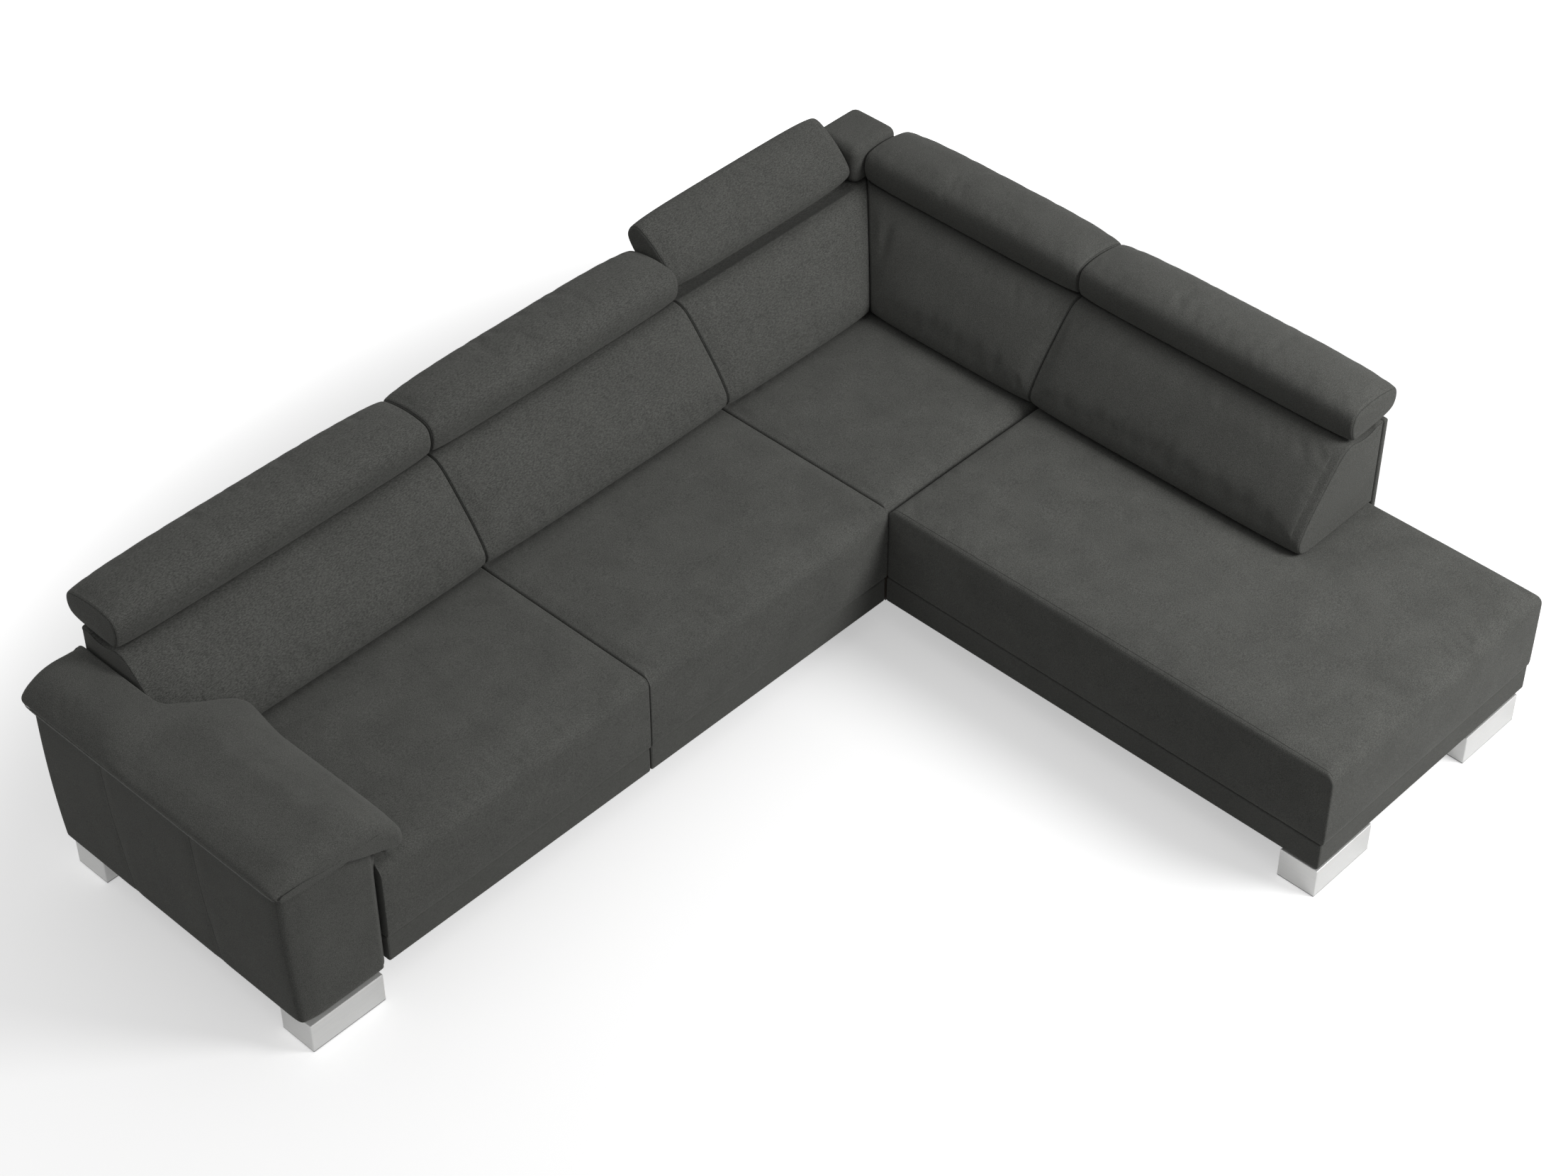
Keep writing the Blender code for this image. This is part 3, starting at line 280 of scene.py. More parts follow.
def on_wing(points):
    """Plan places (x, y, z) carried into the frame, whose origin is mid-sofa."""
    return points - np.array((middle_x, middle_y, 0.0))


def on_side(points):
    """Places along the side (u towards the chaise, v outwards, z) into the frame."""
    u, v, z = np.moveaxis(points, -1, 0)
    return on_wing(np.stack((x_side + v, wing_depth - u, z), -1))


def cell_skin(levels, solid):
    """Skin of a block of cells, between its filled cells and the empty ones.

    levels are the places of the mesh lines along X, Y and Z, and solid says
    which cells are filled. Returns the points used and the four-cornered faces.
    """
    counts = [len(places) for places in levels]
    room = np.pad(solid, 1)
    faces = []
    for axis in range(3):
        for side in (0, 1):
            beyond = np.roll(room, 1 - 2 * side, axis)[1:-1, 1:-1, 1:-1]
            corner = np.argwhere(solid & ~beyond)
            corner[:, axis] += side
            steps = np.eye(3, dtype=int)
            b, c = steps[(axis + 1) % 3], steps[(axis + 2) % 3]
            ring = np.stack((corner, corner + b, corner + b + c, corner + c), 1)
            faces.append(ring if side else ring[:, ::-1])
    faces = np.concatenate(faces)
    flat = np.ravel_multi_index(np.moveaxis(faces, -1, 0), counts)
    used, faces = np.unique(flat, return_inverse=True)
    steps = np.stack(np.unravel_index(used, counts), -1)
    points = np.stack([np.asarray(levels[k])[steps[:, k]] for k in range(3)], -1)
    return points, faces.reshape(-1, 4)


def mesh_lines(low, high, radius, spacing, exact=()):
    """Places of mesh lines: close on both round edges, even between, and exact ones."""
    turn = radius * (1 - np.tan(np.radians((45, 36, 26, 17, 8))))
    first, last = low + radius, high - radius
    count = max(int(round((last - first) / spacing)), 1)
    places = np.linspace(first, last, count + 1)
    for place in exact:
        inner = np.abs(places - place)
        if inner.min() < spacing / 3:
            places[inner.argmin()] = place
        else:
            places = np.sort(np.append(places, place))
    return np.concatenate((low + turn, places, (high - turn)[::-1]))


def round_over(points, low, high, radius):
    """Points on the outside of a box moved in onto its rounded edges and corners."""
    low, high = np.asarray(low), np.asarray(high)
    core = np.clip(points, low + radius, high - radius)
    out = points - core
    length = np.linalg.norm(out, axis=1, keepdims=True)
    outside = np.abs(np.abs(out).max(1, keepdims=True) - radius) < 1e-6
    moved = core + out / np.maximum(length, 1e-9) * radius
    return np.where(outside, moved, points)


def new_piece(name, points, faces, finish, stitch=None):
    """A mesh object from arrays of points and faces, smooth, with its seam lines."""
    mesh = bpy.data.meshes.new(name)
    mesh.from_pydata(points, [], faces.tolist() if hasattr(faces, "tolist") else faces)
    mesh.materials.append(finish)
    mesh.polygons.foreach_set("use_smooth", np.ones(len(mesh.polygons), bool))
    stitches = mesh.attributes.new("stitch", "FLOAT_VECTOR", "POINT")
    values = np.zeros((len(points), 3), np.float32)
    if stitch is not None:
        values[:] = stitch
        values[:, 0] = seam_far - values[:, 0]
    stitches.data.foreach_set("vector", values.ravel())
    piece = bpy.data.objects.new(name, mesh)
    bpy.context.scene.collection.objects.link(piece)
    return piece


def upholster(piece, node, body, free=None, rise=0.0):
    """Declares a padded piece; free says how loose each point is when it is filled.

    rise is the furthest, in metres, that the filling moves a point.
    """
    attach(piece, body)
    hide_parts(node)
    padded_pieces.append((piece, free, rise))


def outer_panel(name, node, place, low, high, notch=None):
    """A thin padded panel: a box with round edges whose outer face swells.

    The swell is 4 mm (1 - x^6) (1 - z^6), with x and z from -1 to 1 across it,
    and the seam runs 12 mm in from the edges. A notch cuts its lower left corner.
    """
    radius = 0.007
    levels = [mesh_lines(low[k], high[k], radius, 0.03, notch[k] if notch else ()) for k in range(3)]
    solid = np.ones([len(places) - 1 for places in levels], bool)
    if notch:
        centres = [(places[1:] + places[:-1]) / 2 for places in levels]
        gone = (centres[0] < notch[0][0])[:, None] & (centres[2] < notch[2][0])[None, :]
        solid &= ~gone[:, None, :]
    points, faces = cell_skin(levels, solid)
    points = round_over(points, low, high, radius)
    reach = 2 * (points - low) / (np.asarray(high) - low) - 1
    swell = 0.004 * (1 - reach[:, 0] ** 6) * (1 - reach[:, 2] ** 6)
    points[:, 1] += swell * np.clip(reach[:, 1], 0, 1)
    edge = np.minimum(*(np.minimum(points[:, k] - low[k], high[k] - points[:, k]) for k in (0, 2)))
    stitch = np.stack((edge - 0.012, points[:, 0] + points[:, 2], 0 * edge), -1)
    piece = new_piece(name, place(points), faces, side_cloth, stitch)
    upholster(piece, node, "base")
    return piece


cover_top, cover_gap = 0.728, 0.00015
near, far = wing_depth + 0.0003, wing_depth + 0.02
x_corner, x_right, x_seat, side_length = 2.15, 3.095, 0.28, 1.916
outer_panel("rear_panel_wing", "rear_cover_wing", on_wing, (0.185, near, base_bottom),
            (x_corner - cover_gap, far, cover_top), ((x_seat,), (), (0.5753,)))
outer_panel("rear_panel_corner", "rear_cover_corner", on_wing,
            (x_corner + cover_gap, near, base_bottom), (x_right, far, cover_top))
outer_panel("side_panel_corner", "side_cover_corner", on_side, (-0.02, near, base_bottom),
            (wing_depth - cover_gap, far, cover_top))
outer_panel("side_panel_chaise", "side_cover_chaise", on_side,
            (wing_depth + cover_gap, near, base_bottom), (side_length, far, cover_top))


# Arm. A plywood crate under 18 mm of foam, and the cover drawn tight over it; its
# outer side swells, with two upright seams where the panels of cloth are joined.
arm_width, arm_height, arm_radius = 0.265, 0.575, 0.018
arm_front, arm_foam = -0.007, 0.018


def ease(share):
    """Zero to one with level ends: 3 s squared minus 2 s cubed."""
    share = np.clip(share, 0, 1)
    return share * share * (3 - 2 * share)


def arm_crown(x):
    """How far the arm's top stands up towards its outer edge."""
    return 0.017 * (1 - ease((x - 0.01) / 0.12))


low = (0.0, arm_front, base_bottom - arm_radius)
high = (arm_width, wing_depth, arm_height)
levels = [
    mesh_lines(low[0], high[0], arm_radius, 0.016, (arm_foam, arm_width - arm_foam)),
    mesh_lines(low[1], high[1], arm_radius, 0.016, (arm_front + arm_foam, wing_depth - arm_foam)),
    mesh_lines(base_bottom, high[2], arm_radius, 0.016, (arm_height - arm_foam,)),
]
levels[2] = np.append(base_bottom, levels[2][5:])
centres = [(places[1:] + places[:-1]) / 2 for places in levels]
inside = [
    (centres[0] > arm_foam) & (centres[0] < arm_width - arm_foam),
    (centres[1] > arm_front + arm_foam) & (centres[1] < wing_depth - arm_foam),
    centres[2] < arm_height - arm_foam,
]
solid = ~(inside[0][:, None, None] & inside[1][None, :, None] & inside[2][None, None, :])
points, faces = cell_skin(levels, solid)
points = round_over(points, low, high, arm_radius)
below = np.maximum(0.5 - points[:, 2], 0) / 0.4
outer = np.clip(2 * (1 - points[:, 0] / arm_radius), 0, 1) * (points[:, 0] < arm_radius - 1e-4)
from_front = points[:, 1] - arm_front
quarter = np.clip(from_front / 0.06, 0, 1)
outer *= 0.4 + 0.6 * np.sqrt(quarter * (2 - quarter))
points[:, 2] += arm_crown(points[:, 0]) * ease((points[:, 2] - 0.4) / 0.17)
corner = np.clip(1 - points[:, 0] / 0.06, 0, 1) ** 2 * np.clip(1 - from_front / 0.04, 0, 1)
points[:, 1] += 0.012 * corner
points[:, 0] -= (0.0275 - 0.0185 * below**2) * outer
seam_1 = points[:, 1] - np.interp(points[:, 2], (0.1, 0.57), (0.658, 0.69))
seam_2 = points[:, 1] - np.interp(points[:, 2], (0.1, 0.57), (0.31, 0.337))
nearest = np.where(np.abs(seam_1) < np.abs(seam_2), seam_1, seam_2)
on_side_face = points[:, 0] < 0.002
stitch = np.stack((np.where(on_side_face, nearest, seam_far), points[:, 2], 0 * below), -1)
groove = np.exp(-((nearest / 0.007) ** 2)) * on_side_face
points[:, 0] += 0.0035 * groove
at_front = np.clip(1 - (points[:, 1] - arm_front) / 0.03, 0, 1) ** 0.5 * (points[:, 0] > arm_width - 0.001)
flare = 0.008 + 0.012 * np.exp(-(((points[:, 2] - 0.49) / 0.03) ** 2))
points[:, 0] += flare * at_front
arm_cover = new_piece("arm_cover", on_wing(points), faces, side_cloth, stitch)
upholster(arm_cover, "arm_body", "base")


# Arm pad. A loose foam saddle on top of the arm, sewn shut at its ends, whose
# inner lobe hangs over the arm in front and fades away under the back.
pad_across = np.array((0.0, 0.02, 0.1, 0.2, 0.31, 0.43, 0.56, 0.72, 0.88, 0.975))
pad_up_front = np.array((0.18, 0.33, 0.49, 0.64, 0.79, 0.93, 1.0, 0.92, 0.66, 0.3))
pad_up_rear = np.array((0.22, 0.42, 0.6, 0.74, 0.86, 0.95, 1.01, 1.05, 1.06, 1.0))
back_front = wing_depth - 0.35


def smooth_track(corners, count, closed=False):
    """Evenly spaced points on a smooth curve through the corners.

    Between two corners the curve is the cubic whose slope at each corner is
    half the step from the corner before it to the corner after it.
    """
    corners = np.asarray(corners, float)
    if closed:
        line = np.concatenate((corners[-1:], corners, corners[:2]))
    else:
        line = np.concatenate((2 * corners[:1] - corners[1:2], corners, 2 * corners[-1:] - corners[-2:-1]))
    t = np.linspace(0, 1, 24, endpoint=False)[None, :, None]
    before, a, b, after = (line[k : len(line) - 3 + k, None, :] for k in range(4))
    curve = a + 0.5 * t * (b - before + t * (2 * before - 5 * a + 4 * b - after
                                            + t * (3 * (a - b) + after - before)))
    curve = np.concatenate((curve.reshape(-1, corners.shape[1]), corners[:1] if closed else corners[-1:]))
    length = np.append(0, np.cumsum(np.linalg.norm(np.diff(curve[:, :2], axis=0), axis=1)))
    where = np.linspace(0, length[-1], count + 1)[: count + (not closed)]
    return np.stack([np.interp(where, length, curve[:, k]) for k in range(corners.shape[1])], -1)


def outward(ring):
    """Unit normals of closed outlines (..., n, 2), away from their inside."""
    along = np.roll(ring, -1, -2) - np.roll(ring, 1, -2)
    after = np.roll(ring, -1, -2)
    area = (ring[..., 0] * after[..., 1] - after[..., 0] * ring[..., 1]).sum(-1)
    normal = np.stack((along[..., 1], -along[..., 0]), -1) * np.sign(area)[..., None, None]
    return normal / np.maximum(np.linalg.norm(normal, axis=-1, keepdims=True), 1e-9)


def close_ends(rings, across, shares=(0.93, 0.82, 0.68, 0.52, 0.36, 0.18), bulge=(0.0, 0.0)):
    """Adds smaller and smaller rings over both ends, and the seam distance of each.

    across holds the seam distance of each ring; bulge lifts the middle of each
    end along the outward direction by that many metres.
    """
    parts, distances = [rings], [across]
    for end, lift in ((0, bulge[0]), (-1, bulge[1])):
        rim = rings[end]
        centre = rim.mean(0)
        outwards = rings[end].mean(0) - rings[1 if end == 0 else -2].mean(0)
        outwards = outwards / np.linalg.norm(outwards)
        share = np.asarray(shares)[:, None, None]
        cap = centre + (rim - centre) * share + outwards * lift * (1 - share**2)
        reach = np.linalg.norm(rim - centre, axis=1).min()
        inset = across[end] - (1 - np.asarray(shares)) * reach
        if end == 0:
            parts.insert(0, cap[::-1])
            distances.insert(0, inset[::-1])
        else:
            parts.append(cap)
            distances.append(inset)
    return np.concatenate(parts), np.concatenate(distances)


def ring_faces(rings):
    """Points and faces of a closed sleeve of rings, with a pole at each end."""
    m, n = rings.shape[:2]
    poles = np.stack((rings[0].mean(0), rings[-1].mean(0)))
    points = np.concatenate((rings.reshape(-1, 3), poles))
    i, j = np.meshgrid(np.arange(m - 1), np.arange(n), indexing="ij")
    after = (j + 1) % n
    quads = np.stack((i * n + j, i * n + after, (i + 1) * n + after, (i + 1) * n + j), -1).reshape(-1, 4)
    k = np.arange(n)
    first = np.stack((k * 0 + m * n, (k + 1) % n, k), -1)
    last = np.stack((k * 0 + m * n + 1, (m - 1) * n + k, (m - 1) * n + (k + 1) % n), -1)
    corners = points[quads]
    volume = np.einsum("ij,ij->i", corners[:, 0], np.cross(corners[:, 1], corners[:, 2])).sum()
    volume += np.einsum("ij,ij->i", corners[:, 0], np.cross(corners[:, 2], corners[:, 3])).sum()
    faces = quads.tolist() + first.tolist() + last.tolist()
    if volume < 0:
        faces = [face[::-1] for face in faces]
    return points, faces


def seam_marks(across, rings):
    """Seam distance of each ring and the length along it, for points and poles."""
    m, n = rings.shape[:2]
    step = np.linalg.norm(np.diff(rings[m // 2], axis=0), axis=1)
    along = np.append(0, np.cumsum(step))
    marks = np.zeros((m, n, 3))
    marks[..., 0], marks[..., 1] = across[:, None], along[None, :]
    poles = np.array(((across[0], 0, 0), (across[-1], 0, 0)))
    return np.concatenate((marks.reshape(-1, 3), poles))


front, rear, end_radius = arm_front - 0.026, wing_depth + 0.012, 0.022
pad_left, pad_height, lip_lift = -0.052, 0.097, 0.017


def arm_top(x, bottom):
    """Height that the pad lies on: the arm's crown, and no floor beyond the arm."""
    return np.where(x < arm_width + 0.003, bottom + arm_crown(x), 0)


def pad_rings(y, pull):
    """Sections of the pad across the arm, one for each y, drawn in by pull.

    Each is a smooth track through the top, whose heights go over from those in
    front to those at the rear where the pad narrows beside the back, and through
    the underside, which lies on the arm's crown and hangs down in the lobe.
    """
    fade = ease((y - back_front + 0.21) / 0.175)
    bend = ease((y - back_front + 0.07) / 0.115)
    bottom, left = arm_height + 0.0003, pad_left
    wide, narrow = arm_width + 0.094, 0.1535
    right = wide + (narrow - wide) * bend
    inner = np.minimum(arm_width + 0.005, right - 0.03)
    drop, lobe = 0.07 * (1 - fade), right - inner
    from_front = np.clip((y - front) / 0.13, 0, 1)
    from_rear = np.clip((rear - y) / 0.06, 0, 1)
    height = pad_height * (0.42 + 0.58 * np.sqrt(from_front * (2 - from_front)))
    height = (height * (0.85 + 0.15 * np.sqrt(from_rear * (2 - from_rear))))[:, None]
    across = pad_across[None]
    up = pad_up_front + (pad_up_rear - pad_up_front) * bend[:, None]
    foot = bottom - drop[:, None] * ease(2 * across - 1)
    x = left + (right - left)[:, None] * across
    top = np.stack((x, foot + (bottom + height + 0.5 * arm_crown(x) - foot) * up
                    + arm_crown(x) * (1 - up)), -1)
    low_z = bottom - drop
    level = 0 * y
    under = [(right - lobe / 5, low_z), (inner + lobe / 4, low_z),
             (inner + lobe / 20, bottom - drop * 2 / 3), (inner, bottom - 0.002 * (drop > 0.01)),
             (inner - 0.002, bottom + level), (inner - 0.006, bottom + level),
             (left + 0.2 + level, bottom + level), (left + 0.1 + level, bottom + 0.01 + level),
             (left + 0.03 + level, bottom + lip_lift + level),
             (left + 0.012 + level, bottom + lip_lift + level)]
    under = np.stack([np.stack(pair, -1) for pair in under], 1)
    corners = np.concatenate((top, under), 1)
    rings = np.stack([smooth_track(section, 110, closed=True) for section in corners])
    rings[..., 1] = np.maximum(rings[..., 1], arm_top(rings[..., 0], bottom))
    rings -= outward(rings) * pull[:, None, None]
    rings[..., 1] = np.maximum(rings[..., 1], arm_top(rings[..., 0], bottom))
    return np.stack((rings[..., 0], np.broadcast_to(y[:, None], rings.shape[:2]), rings[..., 1]), -1)


angle = np.radians(np.linspace(0, 90, 8))
near_offset, near_pull = end_radius * (1 - np.cos(angle)), end_radius * (1 - np.sin(angle))
body = np.linspace(front + end_radius, rear - end_radius, 84)[1:-1]
y = np.concatenate((front + near_offset, body, (rear - near_offset)[::-1]))
pull = np.concatenate((near_pull, 0 * body, near_pull[::-1]))
rings = pad_rings(y, pull)
rings, across = close_ends(rings, seam_far + 0 * y, bulge=(0.004, 0.004))
points, faces = ring_faces(rings)
free = np.clip((points[:, 2] - arm_height - 0.03) / 0.04, 0, 1)
arm_saddle = new_piece("arm_saddle", on_wing(points), faces, side_cloth, seam_marks(across, rings))
pad_rise = 0.0035
upholster(arm_saddle, "arm_pad", "base", free, pad_rise)

# Its turned hem, a thin roll along the lower edge of the outer lip, coloured
# twice as light as the cover cloth: a painted highlight for the light line along the lip.
hem_highlight_grey, hem_radius = (0.2, 0.202, 0.19), 0.0026
hem_highlight_cloth, tree, shader = new_finish("cloth_hem_painted_highlight", hem_highlight_grey, 0.9)
weave = spots(tree, (380, 380, 380), 2)
tint(tree, shader, hem_highlight_grey, ramp(tree, weave, 0.3, 0.7, 0.8, 1.2))
turn = np.radians(np.arange(0, 360, 36))[None, :]
y = np.linspace(front + 0.012, rear - 0.012, 90)[:, None]
thick = hem_radius * np.clip(np.minimum(y - y[0], y[-1] - y) / 0.04, 0.04, 1) ** 0.5
from_end = np.clip(np.minimum(y - front, rear - y) / end_radius, 0, 1)
hem_x = pad_left + 0.0055 + end_radius * (1 - np.sqrt(from_end * (2 - from_end)))
hem_z = arm_height + lip_lift + 0.0025
rings = np.stack((hem_x + thick * np.cos(turn), y + 0 * turn, hem_z + thick * np.sin(turn)), -1)
points, faces = ring_faces(rings)
pad_hem = new_piece("arm_pad_hem", on_wing(points), faces, hem_highlight_cloth)
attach(pad_hem, "base")


# Seat cushions. Foam on a felt over the springs, in a cover whose front border
# hangs down over the base as a skirt; each is crowned and drawn in at its joints.
seat_height, seat_radius, seam = 0.44, 0.034, 0.003
skirt_bottom, slab_bottom, skirt_wall = 0.187, 0.3127, 0.0297
seat_end, seat_back_line, seat_overhang, joint = 0.68, 0.64, 0.006, 0.0006
seat_width, seat_crown, seat_rise = 0.935, 0.014, 0.006
border_swell, joint_draw = 0.011, -0.003


def hump(share):
    """Zero at both ends of a span, one in its middle, and zero outside."""
    return np.maximum(4 * share * (1 - share), 0) ** 0.75


def seat_shape(points, low, high, radius, side_share, corner):
    """The top edge of a block rounded, and its upright corners rounded less.

    Near a border a point has an inset t and a depth w below the top; both are
    carried onto a quarter circle. Round the corners, layers of equal inset keep
    the shape |x|^corner + |y|^corner, which is squarer the larger corner is.
    Along the borders that face X the arc is side_share as wide and as deep.
    """
    stretch = np.array((1 / side_share, 1.0))
    points = points.copy()
    plan = points[:, :2] * stretch
    core = np.clip(plan, np.asarray(low)[:2] * stretch + radius, np.asarray(high)[:2] * stretch - radius)
    out = plan - core
    square = np.abs(out).max(1)
    layer = (np.abs(out) ** corner).sum(1) ** (1 / corner)
    inset, depth = radius - square, high[2] - points[:, 2]
    on_edge = (inset < radius) & (depth < radius)
    a, b = radius - inset, radius - depth
    at_top, at_side = depth < 1e-6, inset < 1e-6
    scale = radius / np.maximum(np.hypot(a, b), 1e-9)
    moved = on_edge & (at_top | at_side)
    new_inset = np.where(moved, radius - a * scale, inset)
    to_side = np.abs(out[:, 0]) ** 8 / np.maximum((np.abs(out) ** 8).sum(1), 1e-30)
    arc_depth = (radius - b * scale) * (1 - (1 - side_share) * to_side)
    points[:, 2] = np.where(moved, high[2] - arc_depth, points[:, 2])
    points[:, :2] = (core + out * ((radius - new_inset) / np.maximum(layer, 1e-9))[:, None]) / stretch
    return points


def seat(low, high, hollow, crown, free_borders, exact=((), (), ()), spacing=0.0125, side_share=0.25):
    """A rounded block of foam, hollow where hollow says, whose borders swell or draw in.

    crown gives the lift of the top at a place, fading down the borders. A free
    border swells as 1 - s^4 along it and 1 - t^2 up it; the others draw in so.
    """
    edges = (seat_radius * side_share, seat_radius, seat_radius)
    levels = [mesh_lines(low[k], high[k], edges[k], spacing, exact[k]) for k in range(3)]
    levels[2] = np.append(low[2], levels[2][4:])
    centres = np.meshgrid(*[(places[1:] + places[:-1]) / 2 for places in levels], indexing="ij")
    points, faces = cell_skin(levels, ~hollow(*centres))
    low, high = np.asarray(low), np.asarray(high)
    points = seat_shape(points, low, high, seat_radius, side_share, 12.0)
    middle, half = (low + high) / 2, (high - low) / 2
    reach = (points - middle) / half
    moved = points.copy()
    for k in (0, 1):
        side = np.sign(reach[:, k])
        on_border = np.abs(points[:, k] - middle[k]) > half[k] - seat_radius
        for sign in (-1, 1):
            start, stop = free_borders.get((k, sign), (low[1 - k], high[1 - k]))
            along = 2 * (points[:, 1 - k] - start) / (stop - start) - 1
            amount = border_swell if (k, sign) in free_borders else joint_draw
            swell = amount * np.maximum(1 - along**4, 0) * (1 - reach[:, 2] ** 2)
            moved[:, k] += np.where(on_border & (side == sign), sign * swell, 0)
    up = np.clip(reach[:, 2], 0, 1)
    moved[:, 2] += crown(points[:, 0], points[:, 1]) * up**2
    edge = np.minimum(np.minimum(points[:, 0] - low[0], high[0] - points[:, 0]),
                      np.minimum(points[:, 1] - low[1], high[1] - points[:, 1]))
    free = np.clip((reach[:, 2] - 0.3) / 0.4, 0, 1) * np.clip(edge / 0.03, 0, 1)
    return moved, faces, points, free


for k in (0, 1):
    left, right = x_seat + k * seat_width, x_seat + (k + 1) * seat_width
    points, faces, flat, free = seat(
        (left + joint, -seat_overhang, skirt_bottom), (right - joint, seat_end, seat_height),
        lambda x, y, z: (y > skirt_wall) & (z < slab_bottom),
        lambda x, y, a=left, b=right: seat_crown * hump((x - a) / (b - a)) * hump(y / seat_back_line),
        {(1, -1): (left, right)}, ((), (skirt_wall,), (slab_bottom,)),
    )
    cushion = new_piece(f"wing_seat_{k + 1}", on_wing(points), faces, seat_cloth)
    loose = free * (flat[:, 1] < seat_back_line)
    upholster(cushion, f"seat_cushion_{k + 1}", "base", loose, seat_rise)

# The corner seat has no border of its own to show: seats and backs meet it all round.
back_line = x_side + seat_back_line
points, faces, flat, free = seat(
    (x_corner + joint, joint, slab_bottom),
    (x_side + seat_end, seat_end, seat_height), lambda x, y, z: x < -1,
    lambda x, y: seat_crown * hump((x - x_corner) / (back_line - x_corner)) * hump(y / seat_back_line),
    {},
)
cushion = new_piece("corner_seat", on_wing(points), faces, seat_cloth)
loose = free * (flat[:, 1] < seat_back_line)
upholster(cushion, "seat_cushion_corner", "base", loose, seat_rise)

# The chaise seat, whose skirt hangs down on three sides; its rear runs under the
# back as far as the back's end, and a seam lies along its top beside the joint.
chaise_front, behind = -1.516, -0.956


def chaise_crown(x, y):
    """The crown spans to the back cushion, and past the back to the outer edge."""
    edge = back_line + (x_right - back_line) * ease((behind - y) / 0.23)
    return seat_crown * hump((x - x_corner) / (edge - x_corner)) * hump(y / chaise_front) ** 0.5


points, faces, flat, free = seat(
    (x_corner, chaise_front - seat_overhang, skirt_bottom),
    (x_right, -joint, seat_height),
    lambda x, y, z: ((x > x_corner + skirt_wall) & (x < x_right - skirt_wall)
                     & (y > chaise_front + skirt_wall) & (z < slab_bottom))
    | ((x > x_side + seat_end) & (y > behind + skirt_wall)),
    chaise_crown,
    {(1, -1): (x_corner, x_right), (0, -1): (chaise_front, 0.0), (0, 1): (chaise_front, behind)},
    ((x_corner + skirt_wall, x_right - skirt_wall, x_side + seat_end),
     (chaise_front + skirt_wall, behind + skirt_wall), (slab_bottom,)),
    spacing=0.0135, side_share=0.5,
)
seam_inset = 0.012
top_seam = np.where(flat[:, 2] > seat_height - seam_inset, flat[:, 0] - x_corner - seam_inset, seam_far)
stitch = np.stack((top_seam, flat[:, 1], 0 * top_seam), -1)
cushion = new_piece("chaise_seat", on_wing(points), faces, seat_cloth, stitch)
under_back = (flat[:, 0] > back_line) & (flat[:, 1] > behind)
upholster(cushion, "seat_cushion_chaise", "base", free * ~under_back, seat_rise)


# Back cushions. Wedges of foam over the back frames, hollow behind for the frame,
# with a trough on top in which the headrest turns, and sewn panels on free ends.
back_bottom, back_height, strip_bottom = 0.4405, 0.7327, 0.6927
frame_front = 0.9047
hinge = np.array((0.875, 0.835))
trough_radius = 0.1176
arm_level_rear = 0.64
back_swell, back_rise, free_edge = 0.014, 0.007, 0.04
back_corners = np.array((
    (0.143, 0.000, 0.0), (0.043, 0.050, 0.2), (0.006, 0.153, 0.7), (0.034, 0.272, 1.0),
    (0.143, 0.478, 1.0), (0.300, 0.717, 1.0), (0.420, 0.888, 0.8), (0.500, 0.970, 0.4),
    (0.586, 1.000, 0.0), (0.780, 1.000, 0.0), (0.985, 1.000, 0.0), (1.0, 0.985, 0.0)))
back_curve = (back_corners * (wing_depth - back_front, back_height - back_bottom, 1)
              + (back_front, back_bottom, 0))
face_points = 79


def level_cut(v, z, cut):
    """Solid sections cut off level at a height: what was lower lies along the cut.

    Face points below it run inwards along it by a quarter of their depth below
    it, and the rear and the bottom are drawn up evenly to it.
    """
    rear, bottom = slice(face_points + 10, face_points + 28), slice(face_points + 28, None)
    first = np.take_along_axis(v, np.argmax(z[:, :face_points] >= cut, 1)[:, None], 1)
    share = (wing_depth - v[:, bottom]) / (wing_depth - v[:, :1])
    face_v, face_z = v[:, :face_points], z[:, :face_points]
    below = face_z < cut
    v[:, :face_points] = np.where(below, first + 0.25 * (cut - face_z), face_v)
    z[:, :face_points] = np.maximum(face_z, cut)
    drawn_up = (arm_level_rear - cut) / (arm_level_rear - back_bottom)
    z[:, rear] = cut + (z[:, rear] - back_bottom) * drawn_up
    v[:, bottom] = wing_depth + share * (v[:, :1] - wing_depth)
    z[:, bottom] = cut
    return v, z


def straight(start, stop, count):
    """Even points from start up to, but without, stop."""
    share = np.linspace(0, 1, count, endpoint=False)[:, None]
    return np.asarray(start) * (1 - share) + np.asarray(stop) * share


def back_sections():
    """Outline, swelling and drawing-in of a back cushion, in two like-numbered cuts.

    The first is solid, and the second has the room for the frame behind. Each is
    (v, z, swelling, drawing-in), and starts with the points of the face.
    """
    face = smooth_track(back_curve, face_points - 1)
    face = np.column_stack((face, np.ones(len(face))))
    top_rear = straight((wing_depth, face[-1, 1] - 0.008, 0, 1), (wing_depth, strip_bottom, 0, 1), 4)
    first = (face[0, 0], back_bottom, 0, 1)
    solid = (
        straight((wing_depth, strip_bottom, 0, 1), (wing_depth, arm_level_rear, 0, 1), 6),
        straight((wing_depth, arm_level_rear, 0, 1), (wing_depth, back_bottom, 0, 1), 18),
        straight((wing_depth, back_bottom, 0, 1), first, 18),
    )
    open_behind = (
        straight((wing_depth, strip_bottom, 0, 0), (frame_front, strip_bottom, 0, 0), 6),
        straight((frame_front, strip_bottom, 0, 0), (frame_front, back_bottom, 0, 0), 18),
        straight((frame_front, back_bottom, 0, 0), first, 18),
    )
    return [np.concatenate((face, top_rear, *rest)) for rest in (solid, open_behind)]


